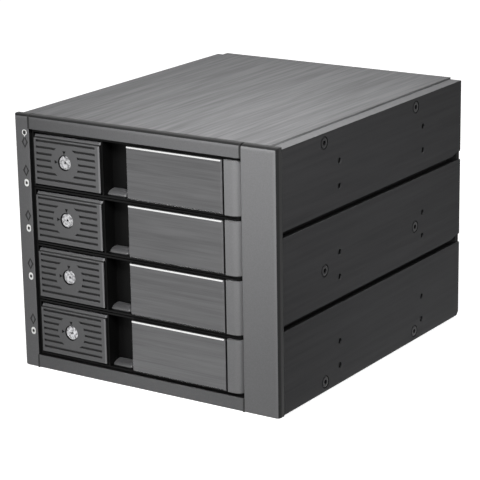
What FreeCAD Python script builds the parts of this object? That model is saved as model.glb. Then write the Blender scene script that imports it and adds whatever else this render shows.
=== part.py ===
import FreeCAD, Part
import Sketcher
import math
import os
from FreeCAD import Vector, Rotation, Placement

# Hot swap drive cage: four 3.5 inch drive trays in the room of three 5.25 inch bays.
# Frame: +X to the right, +Y to the rear, +Z up; the origin is the centre of the underside
# of the whole envelope.  Depths are given behind the bezel's front face, widths from the
# middle plane and heights from the underside.  All sizes are in millimetres.

BAY_COUNT = 3
TRAY_COUNT = 4

SIZES = [
    # envelope and bezel
    ("bezel_width", 146.0),
    ("bezel_height", 124.5),
    ("bezel_depth", 4.2),
    ("bezel_round", 2.2),
    ("bezel_lower_round", 1.0),
    ("post_edge", 0.4),
    ("left_post_width", 8.7),
    ("rail_height", 6.5),
    ("seam", 0.25),
    # sheet metal body
    ("panel_sheet", 1.2),
    ("panel_seam", 0.3),
    ("flange_width", 9.0),
    ("cover_sheet", 1.0),
    ("cover_inset", 6.0),
    ("corner_cut", 1.8),
    ("groove_height", 3.0),
    ("groove_depth", 3.2),
    ("groove_drop", 1.7),
    ("groove_stop", 9.0),
    ("groove_ramp", 6.0),
    ("notch_depth", 0.7),
    ("notch_rise", 1.4),
    ("bay_slack", 5.1),
    # standard 5.25 inch side fixings
    ("mount_first_height", 9.8),
    ("mount_rise", 11.84),
    ("mount_first_depth", 53.2),
    ("mount_run", 79.24),
    ("mount_radius", 1.45),
    # screws that hold the side panels
    ("side_screw_depth", 39.9),
    ("side_screw_run", 85.1),
    ("side_screw_edge", 5.6),
    ("side_screw_drop", 2.95),
    ("side_head_radius", 3.1),
    ("side_shank_radius", 1.45),
    ("boss_half", 3.0),
    # inner frame
    ("frame_sheet", 1.2),
    ("frame_edge_gap", 0.3),
    ("frame_step", 1.5),
    ("guide_wall", 2.0),
    ("guide_gap", 0.2),
    ("guide_start", 12.0),
    ("guide_edge_gap", 0.2),
    ("rib_start", 17.0),
    ("rib_thick", 1.6),
    ("rib_taper", 7.0),
    ("runner_gap", 0.4),
    # trays
    ("bay_margin", 0.35),
    ("tray_gap", 0.4),
    ("tray_side_gap", 0.9),
    ("tray_setback", 1.6),
    ("tray_front_depth", 15.0),
    ("tray_back_wall", 1.5),
    ("tray_skin", 0.85),
    ("tray_side_wall", 0.9),
    ("partition_wall", 0.8),
    ("recess_depth", 9.0),
    ("recess_lip", 2.2),
    ("drive_width", 101.6),
    ("drive_length", 147.0),
    ("drive_gap", 0.3),
    ("carrier_sheet", 0.8),
    ("carrier_lift", 0.2),
    ("carrier_height", 20.0),
    ("carrier_end_gap", 7.6),
    ("runner_end_gap", 2.3),
    ("window_edge", 12.0),
    ("drive_slot_width", 3.6),
    ("drive_hole_rear", 28.5),
    ("drive_hole_run", 101.6),
    ("drive_hole_rise", 6.35),
    # lever
    ("lever_end_gap", 1.3),
    ("lever_rise_gap", 0.2),
    ("barrel_radius", 4.0),
    ("barrel_setback", 0.4),
    ("lever_arm", 5.6),
    ("lever_skin", 1.2),
    ("grip_slope", 2.6),
    ("plate_width", 52.2),
    ("plate_thick", 1.0),
    ("plate_proud", 0.3),
    ("plate_rise_gap", 0.3),
    ("plate_bevel", 0.6),
    ("hinge_groove", 0.9),
    ("pin_radius", 1.25),
    ("pin_gap", 0.05),
    # latch button and key lock
    ("button_width", 38.2),
    ("button_side_gap", 0.85),
    ("button_rise_gap", 1.0),
    ("button_setback", 0.5),
    ("button_depth", 7.5),
    ("button_bevel", 1.7),
    ("button_travel", 2.0),
    ("button_skirt", 2.5),
    ("slide_gap", 0.05),
    ("button_groove_height", 1.1),
    ("button_groove_depth", 0.6),
    ("button_groove_pitch", 3.03),
    ("button_clear_radius", 8.0),
    ("button_margin", 2.6),
    ("lock_offset", 1.4),
    ("lock_radius", 3.7),
    ("lock_gap", 0.05),
    ("lock_length", 6.0),
    ("lock_proud", 0.3),
    ("lock_rim", 0.5),
    ("key_radius", 1.5),
    # status lamps in the left post
    ("lamp_column", 6.35),
    ("lamp_half_width", 1.5),
    ("lamp_half_height", 2.4),
    ("lamp_gap", 0.2),
    ("lamp_board_depth", 8.0),
    ("lamp_board_thick", 1.2),
    # backplane
    ("board_gap", 2.3),
    ("board_thick", 1.6),
    ("board_room", 5.8),
    ("socket_depth", 6.0),
    ("socket_width", 42.0),
    ("socket_height", 6.0),
    # fan
    ("fan_size", 80.0),
    ("fan_depth", 25.0),
    ("fan_rim", 2.0),
    ("fan_flange", 4.0),
    ("fan_side_gap", 2.3),
    ("fan_hole_edge", 4.25),
    ("fan_hole_radius", 2.15),
    ("fan_corner", 4.0),
    ("rotor_hub_radius", 17.0),
    ("rotor_hub_length", 14.0),
    ("rotor_tip_gap", 2.2),
    ("rotor_face_gap", 1.5),
    ("motor_plate", 3.0),
    ("shaft_radius", 1.5),
    ("shaft_gap", 0.05),
    ("guard_thick", 1.2),
    ("guard_wire", 1.8),
    ("fan_head_radius", 3.6),
    ("fan_head_height", 2.0),
]

# Heights of the five lamps as shares of the bezel's height; the top one is beside the key mark.
LAMP_SHARES = [0.1944, 0.4169, 0.6080, 0.7847, 0.8948]
# The share of the width left beside a drive that goes to each side of its tray.
SIDE_SHARE = 0.189

doc = FreeCAD.newDocument("DriveCage")
sheet = doc.addObject("Spreadsheet::Sheet", "Sizes")
for row, (alias, number) in enumerate(SIZES, start=1):
    sheet.set("A%d" % row, alias)
    sheet.set("B%d" % row, "%g" % number)
    sheet.setAlias("B%d" % row, alias)
doc.recompute()


class Size:
    """A length with its formula over the sheet and its present value."""

    def __init__(self, text, value):
        self.text = text
        self.value = value

    def __add__(self, other):
        other = size_of(other)
        return Size("(%s + %s)" % (self.text, other.text), self.value + other.value)

    __radd__ = __add__

    def __sub__(self, other):
        other = size_of(other)
        return Size("(%s - %s)" % (self.text, other.text), self.value - other.value)

    def __rsub__(self, other):
        return size_of(other) - self

    def __mul__(self, factor):
        return Size("(%s * %.9g)" % (self.text, factor), self.value * factor)

    __rmul__ = __mul__

    def __truediv__(self, divisor):
        return Size("(%s / %.9g)" % (self.text, divisor), self.value / divisor)

    def __neg__(self):
        return Size("(0 - %s)" % self.text, -self.value)


def size_of(thing):
    """A Size from a Size, a number or an alias of the sheet."""
    if isinstance(thing, Size):
        return thing
    if isinstance(thing, str):
        return Size("Sizes.%s" % thing, float(sheet.get(thing)))
    return Size("%.9g" % thing, float(thing))


S = size_of
ZERO = S(0)


def tie(thing, prop, size):
    """Bind one property to a formula over the sheet."""
    thing.setExpression(prop, size_of(size).text)


# ---------------------------------------------------------------- derived places

HALF_WIDTH = S("bezel_width") / 2
LEFT_EDGE = S("left_post_width") - HALF_WIDTH
SIDE_ROOM = (S("bezel_width") - S("drive_width")) * SIDE_SHARE
RIGHT_EDGE = LEFT_EDGE + S("drive_width") + SIDE_ROOM * 2
BAY_MIDDLE = (LEFT_EDGE + RIGHT_EDGE) / 2
OPENING_FLOOR = S("rail_height")
OPENING_ROOF = S("bezel_height") - S("rail_height")
# The drives set how deep the body is: they end just in front of the backplane.
BOARD_DEPTH = S("tray_front_depth") + S("drive_gap") + S("drive_length") + S("board_gap")
BOARD_BACK = BOARD_DEPTH + S("board_thick")
BODY_DEPTH = BOARD_BACK + S("board_room")
REAR_MOST = BODY_DEPTH + S("fan_depth") + S("guard_thick") + S("fan_head_height")
# The envelope runs from the lever plates' faces to the fan screws' heads.
FACE = -(REAR_MOST - S("plate_proud")) / 2

TRAY_PITCH = (OPENING_ROOF - OPENING_FLOOR - S("bay_margin") * 2) / TRAY_COUNT
TRAY_HEIGHT = TRAY_PITCH - S("tray_gap")


def tray_floor(index):
    return OPENING_FLOOR + S("bay_margin") + S("tray_gap") / 2 + TRAY_PITCH * index


# Three bays of the case are as tall as the bezel and the slack above it.
CASE_PITCH = (S("bezel_height") + S("bay_slack")) / BAY_COUNT
LAMP_HEIGHTS = [S("bezel_height") * share for share in LAMP_SHARES]


def groove_middle(index):
    return CASE_PITCH * (index + 1) - S("groove_drop")


# ---------------------------------------------------------------- building tools

def add(kind, name):
    return doc.addObject(kind, name)


def at(thing, x, y, z):
    """Place a thing: x from the middle plane, y behind the bezel's face, z up."""
    tie(thing, "Placement.Base.x", S(x))
    tie(thing, "Placement.Base.y", FACE + S(y))
    tie(thing, "Placement.Base.z", S(z))


def box(name, x, y, z):
    """A box between pairs of places."""
    thing = add("Part::Box", name)
    tie(thing, "Length", S(x[1]) - S(x[0]))
    tie(thing, "Width", S(y[1]) - S(y[0]))
    tie(thing, "Height", S(z[1]) - S(z[0]))
    at(thing, x[0], y[0], z[0])
    return thing


TURNS = {
    "x": Rotation(Vector(0, 1, 0), 90),
    "y": Rotation(Vector(1, 0, 0), -90),
    "z": Rotation(),
}


def rod(name, x, y, z, radius, length, axis):
    """A cylinder that starts at a place and runs along +axis."""
    thing = add("Part::Cylinder", name)
    tie(thing, "Radius", radius)
    tie(thing, "Height", length)
    thing.Placement = Placement(Vector(), TURNS[axis])
    at(thing, x, y, z)
    return thing


def cone(name, x, y, z, radius, end_radius, length, axis):
    """A cone that starts at a place and runs along +axis."""
    thing = add("Part::Cone", name)
    tie(thing, "Radius1", radius)
    tie(thing, "Radius2", end_radius)
    tie(thing, "Height", length)
    thing.Placement = Placement(Vector(), TURNS[axis])
    at(thing, x, y, z)
    return thing


def fuse(name, things):
    thing = add("Part::MultiFuse", name)
    thing.Shapes = things
    return thing


def group(name, things):
    """Separate solids kept as one sub-part."""
    thing = add("Part::Compound", name)
    thing.Links = things
    return thing


def cut(name, base, tools):
    thing = add("Part::Cut", name)
    thing.Base = base
    thing.Tool = tools[0] if len(tools) == 1 else fuse(name + "_voids", tools)
    return thing


def new_body(name, x=ZERO, y=ZERO, z=ZERO):
    body = add("PartDesign::Body", name)
    at(body, x, y, z)
    return body


def plane_of(body, role):
    for feature in body.Origin.OriginFeatures:
        if feature.Role == role:
            return feature
    raise ValueError("no origin plane " + role)


def new_sketch(body, role, offset=ZERO):
    """A sketch on one of the body's own planes, moved along the plane's normal."""
    sketch = body.newObject("Sketcher::SketchObject", body.Name + "_sketch")
    sketch.AttachmentSupport = [(plane_of(body, role), "")]
    sketch.MapMode = "FlatFace"
    tie(sketch, "AttachmentOffset.Base.z", offset)
    return sketch


def pin_point(sketch, edge, end, across, up):
    """Tie one end of an edge to its place in the sketch."""
    for kind, place in (("DistanceX", across), ("DistanceY", up)):
        if place is None:
            continue
        place = size_of(place)
        number = sketch.addConstraint(Sketcher.Constraint(kind, -1, 1, edge, end, place.value))
        sketch.setExpression("Constraints[%d]" % number, place.text)


def polygon(sketch, corners):
    """A closed outline of straight edges through tied corners."""
    corners = [(size_of(a), size_of(b)) for a, b in corners]
    ends = corners[1:] + corners[:1]
    edges = []
    for (a, b), (c, d) in zip(corners, ends):
        line = Part.LineSegment(Vector(a.value, b.value, 0), Vector(c.value, d.value, 0))
        edges.append(sketch.addGeometry(line, False))
    for edge, after in zip(edges, edges[1:] + edges[:1]):
        sketch.addConstraint(Sketcher.Constraint("Coincident", edge, 2, after, 1))
    for edge, (a, b) in zip(edges, corners):
        pin_point(sketch, edge, 1, a, b)
    return edges


def rectangle(sketch, across, up):
    polygon(sketch, [(across[0], up[0]), (across[1], up[0]), (across[1], up[1]), (across[0], up[1])])


def hexagon(sketch, x, y, reach):
    """A hexagon whose corners lie at this reach from its middle."""
    polygon(sketch, [(x + reach * math.cos(math.radians(60 * k)), y + reach * math.sin(math.radians(60 * k)))
                     for k in range(6)])


def outline(sketch, parts):
    """A closed outline of corners (x, y) and arcs (x, y, radius, start, end) in degrees."""
    chain = []
    for part in parts:
        if len(part) == 2:
            x, y = size_of(part[0]), size_of(part[1])
            chain.append((None, [(x, y)]))
            continue
        x, y, radius = (size_of(value) for value in part[:3])
        ends = []
        for angle in part[3:]:
            turn = math.radians(angle)
            ends.append((x + radius * math.cos(turn), y + radius * math.sin(turn)))
        ring = Part.Circle(Vector(x.value, y.value, 0), Vector(0, 0, 1), radius.value)
        arc = Part.ArcOfCircle(ring, math.radians(part[3]), math.radians(part[4]))
        edge = sketch.addGeometry(arc, False)
        pin_point(sketch, edge, 3, x, y)
        number = sketch.addConstraint(Sketcher.Constraint("Radius", edge, radius.value))
        sketch.setExpression("Constraints[%d]" % number, radius.text)
        for end, angle in zip((1, 2), part[3:]):
            steep = abs(math.cos(math.radians(angle))) < 0.5
            place = ends[end - 1]
            pin_point(sketch, edge, end, place[0] if steep else None, None if steep else place[1])
        chain.append((edge, ends))
    first_line = None
    last_line = None
    for (edge, ends), (after, after_ends) in zip(chain, chain[1:] + chain[:1]):
        start, stop = ends[-1], after_ends[0]
        line = sketch.addGeometry(Part.LineSegment(
            Vector(start[0].value, start[1].value, 0), Vector(stop[0].value, stop[1].value, 0)), False)
        if edge is None:
            pin_point(sketch, line, 1, start[0], start[1])
            if last_line is not None:
                sketch.addConstraint(Sketcher.Constraint("Coincident", last_line, 2, line, 1))
        else:
            sketch.addConstraint(Sketcher.Constraint("Coincident", edge, 2, line, 1))
        if after is not None:
            sketch.addConstraint(Sketcher.Constraint("Coincident", line, 2, after, 1))
        if first_line is None:
            first_line = line
        last_line = line
    if chain[0][0] is None:
        sketch.addConstraint(Sketcher.Constraint("Coincident", last_line, 2, first_line, 1))


def circle(sketch, across, up, radius):
    across = size_of(across)
    up = size_of(up)
    radius = size_of(radius)
    ring = sketch.addGeometry(
        Part.Circle(Vector(across.value, up.value, 0), Vector(0, 0, 1), radius.value), False)
    pin_point(sketch, ring, 3, across, up)
    number = sketch.addConstraint(Sketcher.Constraint("Radius", ring, radius.value))
    sketch.setExpression("Constraints[%d]" % number, radius.text)


def volume(body):
    doc.recompute()
    return body.Shape.Volume


def pad(body, sketch, length, reverse=False):
    """Add material along the sketch's normal, or against it."""
    before = body.Shape.Volume if body.Tip else 0.0
    feature = body.newObject("PartDesign::Pad", body.Name + "_pad")
    feature.Profile = sketch
    feature.Reversed = reverse
    tie(feature, "Length", length)
    if volume(body) <= before:
        raise ValueError("a pad added nothing to " + body.Name)
    return feature


def pocket(body, sketch, length, reverse=False):
    """Cut against the sketch's normal, or along it when reversed."""
    before = body.Shape.Volume
    feature = body.newObject("PartDesign::Pocket", body.Name + "_pocket")
    feature.Profile = sketch
    feature.Reversed = reverse
    tie(feature, "Length", length)
    if volume(body) >= before:
        raise ValueError("a pocket cut nothing from " + body.Name)
    return feature


def step_pattern(body, features, axis, spacing, count, reverse=False):
    """Repeat features along one of the body's own axes."""
    before = body.Shape.Volume
    pattern = body.newObject("PartDesign::LinearPattern", body.Name + "_row")
    pattern.Originals = features
    pattern.Direction = (plane_of(body, axis), [""])
    pattern.Mode = "Spacing"
    pattern.Occurrences = count
    pattern.Reversed = reverse
    tie(pattern, "Offset", spacing)
    body.Tip = pattern
    if abs(volume(body) - before) < 1e-6:
        raise ValueError("a pattern changed nothing in " + body.Name)
    return pattern


def edges_near(shape, test):
    """Names of the edges whose two ends both pass a test."""
    names = []
    for number, edge in enumerate(shape.Edges, start=1):
        if all(test(vertex.Point) for vertex in edge.Vertexes) and len(edge.Vertexes) == 2:
            names.append("Edge%d" % number)
    return names


def dress(body, kind, test, size):
    """Fillet or chamfer the edges that pass a test."""
    base = body.Tip
    names = edges_near(base.Shape, test)
    if not names:
        raise ValueError("no edge to dress on " + body.Name)
    feature = body.newObject("PartDesign::" + kind, body.Name + "_" + kind.lower())
    feature.Base = (base, names)
    tie(feature, "Radius" if kind == "Fillet" else "Size", size)
    doc.recompute()
    return feature


def close(a, b):
    return abs(a - size_of(b).value) < 1e-4


SUB_PARTS = []


def keep(thing, label):
    """Name a finished sub-part."""
    thing.Label = label
    SUB_PARTS.append(thing)
    return thing


# ---------------------------------------------------------------- bezel

LAMP_X = S("lamp_column") - HALF_WIDTH
LAMP_WIDE = S("lamp_half_width")
LAMP_TALL = S("lamp_half_height")


def diamond(sketch, x, z, wide, tall):
    polygon(sketch, [(x - wide, z), (x, z - tall), (x + wide, z), (x, z + tall)])


def lamp_outlines(sketch, gap):
    """The five diamonds of the lamp strip, grown by a gap."""
    for height in LAMP_HEIGHTS:
        diamond(sketch, LAMP_X, height, LAMP_WIDE + gap, LAMP_TALL + gap)


def bezel_bar(label, left, right, low, high, outer=None):
    """One bar of the bezel with its outer front edges rounded."""
    body = new_body(label)
    sketch = new_sketch(body, "XY_Plane", low)
    rectangle(sketch, (left, right), (ZERO, S("bezel_depth")))
    pad(body, sketch, high - low)

    def outer_edge(point):
        side = outer is not None and close(point.x, outer)
        top = close(point.z, S("bezel_height"))
        return close(point.y, 0) and (side or top)

    def lower_edge(point):
        return close(point.y, 0) and close(point.z, 0)

    if outer is not None or close(high.value, S("bezel_height")):
        dress(body, "Fillet", outer_edge, "bezel_round")
    if close(low.value, 0):
        dress(body, "Fillet", lower_edge, "bezel_lower_round")
    if outer is not None:
        inner = left if close(outer.value, right) else right

        def inner_edge(point):
            return close(point.x, inner) and close(point.y, 0)

        dress(body, "Chamfer", inner_edge, "post_edge")
    return body


left_post = bezel_bar("left_post", -HALF_WIDTH, LEFT_EDGE, ZERO, S("bezel_height"), -HALF_WIDTH)
lamp_sketch = new_sketch(left_post, "XZ_Plane")
lamp_outlines(lamp_sketch, S("lamp_gap"))
pocket(left_post, lamp_sketch, "bezel_depth")
keep(left_post, "left_post")

keep(bezel_bar("right_post", RIGHT_EDGE, HALF_WIDTH, ZERO, S("bezel_height"), HALF_WIDTH),
     "right_post")
RAIL_LEFT = LEFT_EDGE + S("seam")
RAIL_RIGHT = RIGHT_EDGE - S("seam")
keep(bezel_bar("top_rail", RAIL_LEFT, RAIL_RIGHT, OPENING_ROOF, S("bezel_height")), "top_rail")
keep(bezel_bar("bottom_rail", RAIL_LEFT, RAIL_RIGHT, ZERO, OPENING_FLOOR), "bottom_rail")


# ---------------------------------------------------------------- front frame and lamps

PANEL_FLOOR = S("cover_sheet")
PANEL_ROOF = S("bezel_height") - S("cover_sheet")
PANEL_INNER = HALF_WIDTH - S("panel_sheet")
FRAME_EDGE = PANEL_INNER - S("frame_edge_gap")
FRAME_BACK = S("bezel_depth") + S("frame_sheet")
FRAME_FLOOR = PANEL_FLOOR + S("panel_sheet") + S("frame_edge_gap")
FRAME_ROOF = PANEL_ROOF - S("panel_sheet") - S("frame_edge_gap")

front_frame = new_body("front_frame")
frame_sketch = new_sketch(front_frame, "XZ_Plane", -S("bezel_depth"))
rectangle(frame_sketch, (-FRAME_EDGE, FRAME_EDGE), (FRAME_FLOOR, FRAME_ROOF))
# Its opening steps back behind the rails, clear of the handles.
rectangle(frame_sketch, (LEFT_EDGE, RIGHT_EDGE),
          (OPENING_FLOOR - S("frame_step"), OPENING_ROOF + S("frame_step")))
lamp_outlines(frame_sketch, S("lamp_gap"))
pad(front_frame, frame_sketch, "frame_sheet", reverse=True)
# Notches let the grooves of the side panels pass.
notches = new_sketch(front_frame, "XZ_Plane", -S("bezel_depth"))
NOTCH_HALF = S("groove_height") / 2 + S("panel_sheet") + S("frame_edge_gap")
NOTCH_FLOOR = PANEL_INNER - S("groove_depth") - S("frame_edge_gap")
for number in range(BAY_COUNT - 1):
    middle = groove_middle(number)
    for side in (-1, 1):
        edges = sorted((NOTCH_FLOOR * side, HALF_WIDTH * side), key=lambda size: size.value)
        rectangle(notches, edges, (middle - NOTCH_HALF, middle + NOTCH_HALF))
pocket(front_frame, notches, "frame_sheet")
keep(front_frame, "front_frame")

# The five lamp prisms are one clear moulding joined by a bar at the back.
LAMP_BACK = S("lamp_board_depth")
LAMP_BAR_FRONT = (FRAME_BACK + LAMP_BACK) / 2
light_pipes = new_body("light_pipes")
bar_sketch = new_sketch(light_pipes, "XZ_Plane", -LAMP_BAR_FRONT)
rectangle(bar_sketch, (LAMP_X - LAMP_WIDE, LAMP_X + LAMP_WIDE),
          (LAMP_HEIGHTS[0] - LAMP_TALL, LAMP_HEIGHTS[-1] + LAMP_TALL))
pad(light_pipes, bar_sketch, LAMP_BACK - LAMP_BAR_FRONT, reverse=True)
pipe_sketch = new_sketch(light_pipes, "XZ_Plane", -LAMP_BAR_FRONT)
lamp_outlines(pipe_sketch, ZERO)
pad(light_pipes, pipe_sketch, LAMP_BAR_FRONT)
keep(light_pipes, "light_pipes")

# ---------------------------------------------------------------- body panels

PANEL_FRONT = S("bezel_depth") + S("panel_seam")
SHEET = S("panel_sheet")


def side_screw_places():
    edge = S("side_screw_edge")
    heights = (edge, S("bezel_height") / 2 - S("side_screw_drop"), S("bezel_height") - edge)
    for height in heights:
        for run in (ZERO, S("side_screw_run")):
            yield S("side_screw_depth") + run, height


def side_panel(label, side):
    """A folded side with two inward grooves, in line with the bays of the case."""
    outer = HALF_WIDTH * side
    inner = PANEL_INNER * side
    lip = (HALF_WIDTH - S("flange_width")) * side
    half = S("groove_height") / 2

    def groove_section(sketch, deep, rise):
        """The fold's outline where the grooves are this deep and rise this far above their run."""
        floor = (HALF_WIDTH - deep) * side
        back = (HALF_WIDTH - deep - SHEET) * side
        corners = [(lip, PANEL_FLOOR), (outer, PANEL_FLOOR)]
        for number in range(BAY_COUNT - 1):
            low = groove_middle(number) - half
            high = groove_middle(number) + half + rise
            corners += [(outer, low), (floor, low), (floor, high), (outer, high)]
        corners += [(outer, PANEL_ROOF), (lip, PANEL_ROOF), (lip, PANEL_ROOF - SHEET)]
        corners += [(inner, PANEL_ROOF - SHEET)]
        for number in reversed(range(BAY_COUNT - 1)):
            low = groove_middle(number) - half - SHEET
            high = groove_middle(number) + half + rise + SHEET
            corners += [(inner, high), (back, high), (back, low), (inner, low)]
        corners += [(inner, PANEL_FLOOR + SHEET), (lip, PANEL_FLOOR + SHEET)]
        polygon(sketch, corners)
        return sketch

    # The grooves run full depth, then ramp out to shallow notches at the rear edge.
    body = new_body(label + "_sheet")
    run_end = BODY_DEPTH - S("groove_stop")
    ramp_end = run_end + S("groove_ramp")
    deep = groove_section(new_sketch(body, "XZ_Plane", -PANEL_FRONT), S("groove_depth"), ZERO)
    pad(body, deep, run_end - PANEL_FRONT, reverse=True)
    first = groove_section(new_sketch(body, "XZ_Plane", -run_end), S("groove_depth"), ZERO)
    last = groove_section(new_sketch(body, "XZ_Plane", -ramp_end), S("notch_depth"), S("notch_rise"))
    before = body.Shape.Volume
    ramp = body.newObject("PartDesign::AdditiveLoft", label + "_ramp")
    ramp.Profile = first
    ramp.Sections = [last]
    ramp.Ruled = True
    if volume(body) <= before:
        raise ValueError("the ramp added nothing to " + label)
    shallow = groove_section(new_sketch(body, "XZ_Plane", -ramp_end), S("notch_depth"), S("notch_rise"))
    pad(body, shallow, BODY_DEPTH - ramp_end, reverse=True)

    holes = new_sketch(body, "YZ_Plane", outer)
    for bay in range(BAY_COUNT):
        low = S("mount_first_height") + CASE_PITCH * bay
        for height in (low, low + S("mount_rise")):
            for depth in (S("mount_first_depth"), S("mount_first_depth") + S("mount_run")):
                circle(holes, depth, height, "mount_radius")
    pocket(body, holes, SHEET, reverse=side < 0)

    corner = new_sketch(body, "YZ_Plane", outer)
    rear = BODY_DEPTH
    polygon(corner, [(rear - S("corner_cut"), PANEL_FLOOR), (rear, PANEL_FLOOR),
                     (rear, PANEL_FLOOR + S("corner_cut"))])
    pocket(body, corner, "flange_width", reverse=side < 0)

    sinks = []
    for number, (depth, height) in enumerate(side_screw_places()):
        if side > 0:
            wide, narrow, start = S("side_shank_radius"), S("side_head_radius"), inner
        else:
            wide, narrow, start = S("side_head_radius"), S("side_shank_radius"), outer
        sinks.append(cone("%s_sink%d" % (label, number), start, depth, height, wide, narrow, SHEET, "x"))
    return keep(cut(label, body, sinks), label)


side_panel("side_panel_left", -1)
side_panel("side_panel_right", 1)

COVER_EDGE = HALF_WIDTH - S("cover_inset")
keep(box("top_cover", (-COVER_EDGE, COVER_EDGE), (PANEL_FRONT, BODY_DEPTH),
         (PANEL_ROOF, "bezel_height")), "top_cover")
keep(box("bottom_cover", (-COVER_EDGE, COVER_EDGE), (PANEL_FRONT, BODY_DEPTH),
         (0, "cover_sheet")), "bottom_cover")

# ---------------------------------------------------------------- tray guides

CARRIER_HALF = S("drive_width") / 2 + S("drive_gap") + S("carrier_sheet")
RUNNER_FLOOR = S("carrier_lift") + S("carrier_height") - S("carrier_sheet")
RUNNER_ROOF = S("carrier_lift") + S("carrier_height") + S("runner_gap")
REAR_PLATE_FRONT = BODY_DEPTH - SHEET
GUIDE_FLOOR = PANEL_FLOOR + SHEET + S("guide_edge_gap")
GUIDE_ROOF = PANEL_ROOF - SHEET - S("guide_edge_gap")
GUIDE_LEFT_FACE = LEFT_EDGE + S("guide_gap")
GUIDE_RIGHT_FACE = RIGHT_EDGE - S("guide_gap")


def guide(label, side):
    """A moulded wall with a pair of ribs for each tray's runner."""
    face = GUIDE_RIGHT_FACE if side > 0 else GUIDE_LEFT_FACE
    back = face + S("guide_wall") * side
    tip = BAY_MIDDLE + (CARRIER_HALF + S("carrier_sheet")) * side
    body = new_body(label)
    wall = new_sketch(body, "XZ_Plane", -S("guide_start"))
    rectangle(wall, (face, back), (GUIDE_FLOOR, GUIDE_ROOF))
    pad(body, wall, REAR_PLATE_FRONT - S("guide_start"), reverse=True)

    # Each rib tapers in at the front, so that a tray finds its way in.
    ribs = []
    for height in (RUNNER_FLOOR - S("rib_thick"), RUNNER_ROOF):
        rib = new_sketch(body, "XY_Plane", tray_floor(0) + height)
        polygon(rib, [(face, S("rib_start")), (tip, S("rib_start") + S("rib_taper")),
                      (tip, BOARD_DEPTH), (face, BOARD_DEPTH)])
        ribs.append(pad(body, rib, "rib_thick"))
    step_pattern(body, ribs, "XY_Plane", TRAY_PITCH, TRAY_COUNT)

    # Feet reach forward to the front frame.
    feet = new_sketch(body, "YZ_Plane", face)
    foot = S("guide_wall") * 2
    for low in (OPENING_FLOOR - foot, OPENING_ROOF):
        rectangle(feet, (FRAME_BACK, S("guide_start")), (low, low + foot))
    pad(body, feet, "guide_wall", reverse=side < 0)

    bosses = new_sketch(body, "YZ_Plane", back)
    half = S("boss_half")
    for depth, height in side_screw_places():
        rectangle(bosses, (depth - half, depth + half), (height - half, height + half))
    pad(body, bosses, HALF_WIDTH - SHEET - back * side, reverse=side < 0)
    return body


left_guide = guide("guide_left", -1)
# Two lugs carry the lamp board behind the left post.
lugs = new_sketch(left_guide, "XZ_Plane", -(S("lamp_board_depth") + S("lamp_board_thick")))
LUG_LEFT = LAMP_X - LAMP_WIDE
for low in (groove_middle(0) - S("boss_half") * 3, groove_middle(1) - S("boss_half") * 3):
    rectangle(lugs, (LUG_LEFT, GUIDE_LEFT_FACE), (low, low + S("boss_half")))
pad(left_guide, lugs, S("guide_start") - S("lamp_board_depth") - S("lamp_board_thick")
    + S("guide_wall"), reverse=True)
keep(left_guide, "guide_left")
keep(guide("guide_right", 1), "guide_right")

LAMP_BOARD_BACK = S("lamp_board_depth") + S("lamp_board_thick")
keep(box("lamp_board", (-FRAME_EDGE + S("groove_depth") + S("frame_edge_gap"), LEFT_EDGE - S("seam")),
         ("lamp_board_depth", LAMP_BOARD_BACK),
         (OPENING_FLOOR + S("guide_wall") * 2, OPENING_ROOF - S("guide_wall") * 2)), "lamp_board")

# ---------------------------------------------------------------- side screws

# Flat heads fill the sinks; their threaded ends are sealed in the bosses and left out.
for label, side in (("side_screws_left", -1), ("side_screws_right", 1)):
    screws = []
    for number, (depth, height) in enumerate(side_screw_places()):
        if side > 0:
            inner_radius, outer_radius, start = "side_shank_radius", "side_head_radius", PANEL_INNER
        else:
            inner_radius, outer_radius, start = "side_head_radius", "side_shank_radius", -HALF_WIDTH
        screws.append(cone("%s_%d" % (label, number), start, depth, height,
                           inner_radius, outer_radius, SHEET, "x"))
    keep(group(label, screws), label)

# ---------------------------------------------------------------- fan and rear panel

FAN_HALF = S("fan_size") / 2
FAN_X = LEFT_EDGE + S("fan_side_gap") + FAN_HALF
FAN_Z = S("bezel_height") / 2
FAN_FRONT = BODY_DEPTH
FAN_REAR = FAN_FRONT + S("fan_depth")
BORE = FAN_HALF - S("fan_rim")
HOLE_STEP = FAN_HALF - S("fan_hole_edge")
FAN_CORNERS = [(a, b) for a in (-1, 1) for b in (-1, 1)]
WINDOW_LEFT = FAN_X + FAN_HALF + S("fan_corner")
WINDOW_RIGHT = GUIDE_RIGHT_FACE
REAR_HALF = HALF_WIDTH - S("groove_depth") - SHEET - S("guide_edge_gap")

rear_panel = new_body("rear_panel")
rear_sketch = new_sketch(rear_panel, "XZ_Plane", -REAR_PLATE_FRONT)
rectangle(rear_sketch, (-REAR_HALF, REAR_HALF), (GUIDE_FLOOR, GUIDE_ROOF))
rectangle(rear_sketch, (WINDOW_LEFT, WINDOW_RIGHT),
          (tray_floor(0) + TRAY_HEIGHT * 0.2, tray_floor(TRAY_COUNT - 1) + TRAY_HEIGHT * 0.8))
circle(rear_sketch, FAN_X, FAN_Z, BORE)
for across, up in FAN_CORNERS:
    circle(rear_sketch, FAN_X + HOLE_STEP * across, FAN_Z + HOLE_STEP * up, "fan_hole_radius")
pad(rear_panel, rear_sketch, SHEET, reverse=True)
keep(rear_panel, "rear_panel")

# The fan's frame: two square flanges on a round duct, with the motor plate on three struts.
fan_frame = new_body("fan_frame", FAN_X, FAN_FRONT, FAN_Z)


def fan_square(depth, length):
    sketch = new_sketch(fan_frame, "XZ_Plane", -depth)
    corner = S("fan_corner")
    reach = FAN_HALF - corner
    outline(sketch, [(reach, -reach, corner, -90, 0), (reach, reach, corner, 0, 90),
                     (-reach, reach, corner, 90, 180), (-reach, -reach, corner, 180, 270)])
    return pad(fan_frame, sketch, length, reverse=True)


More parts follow.
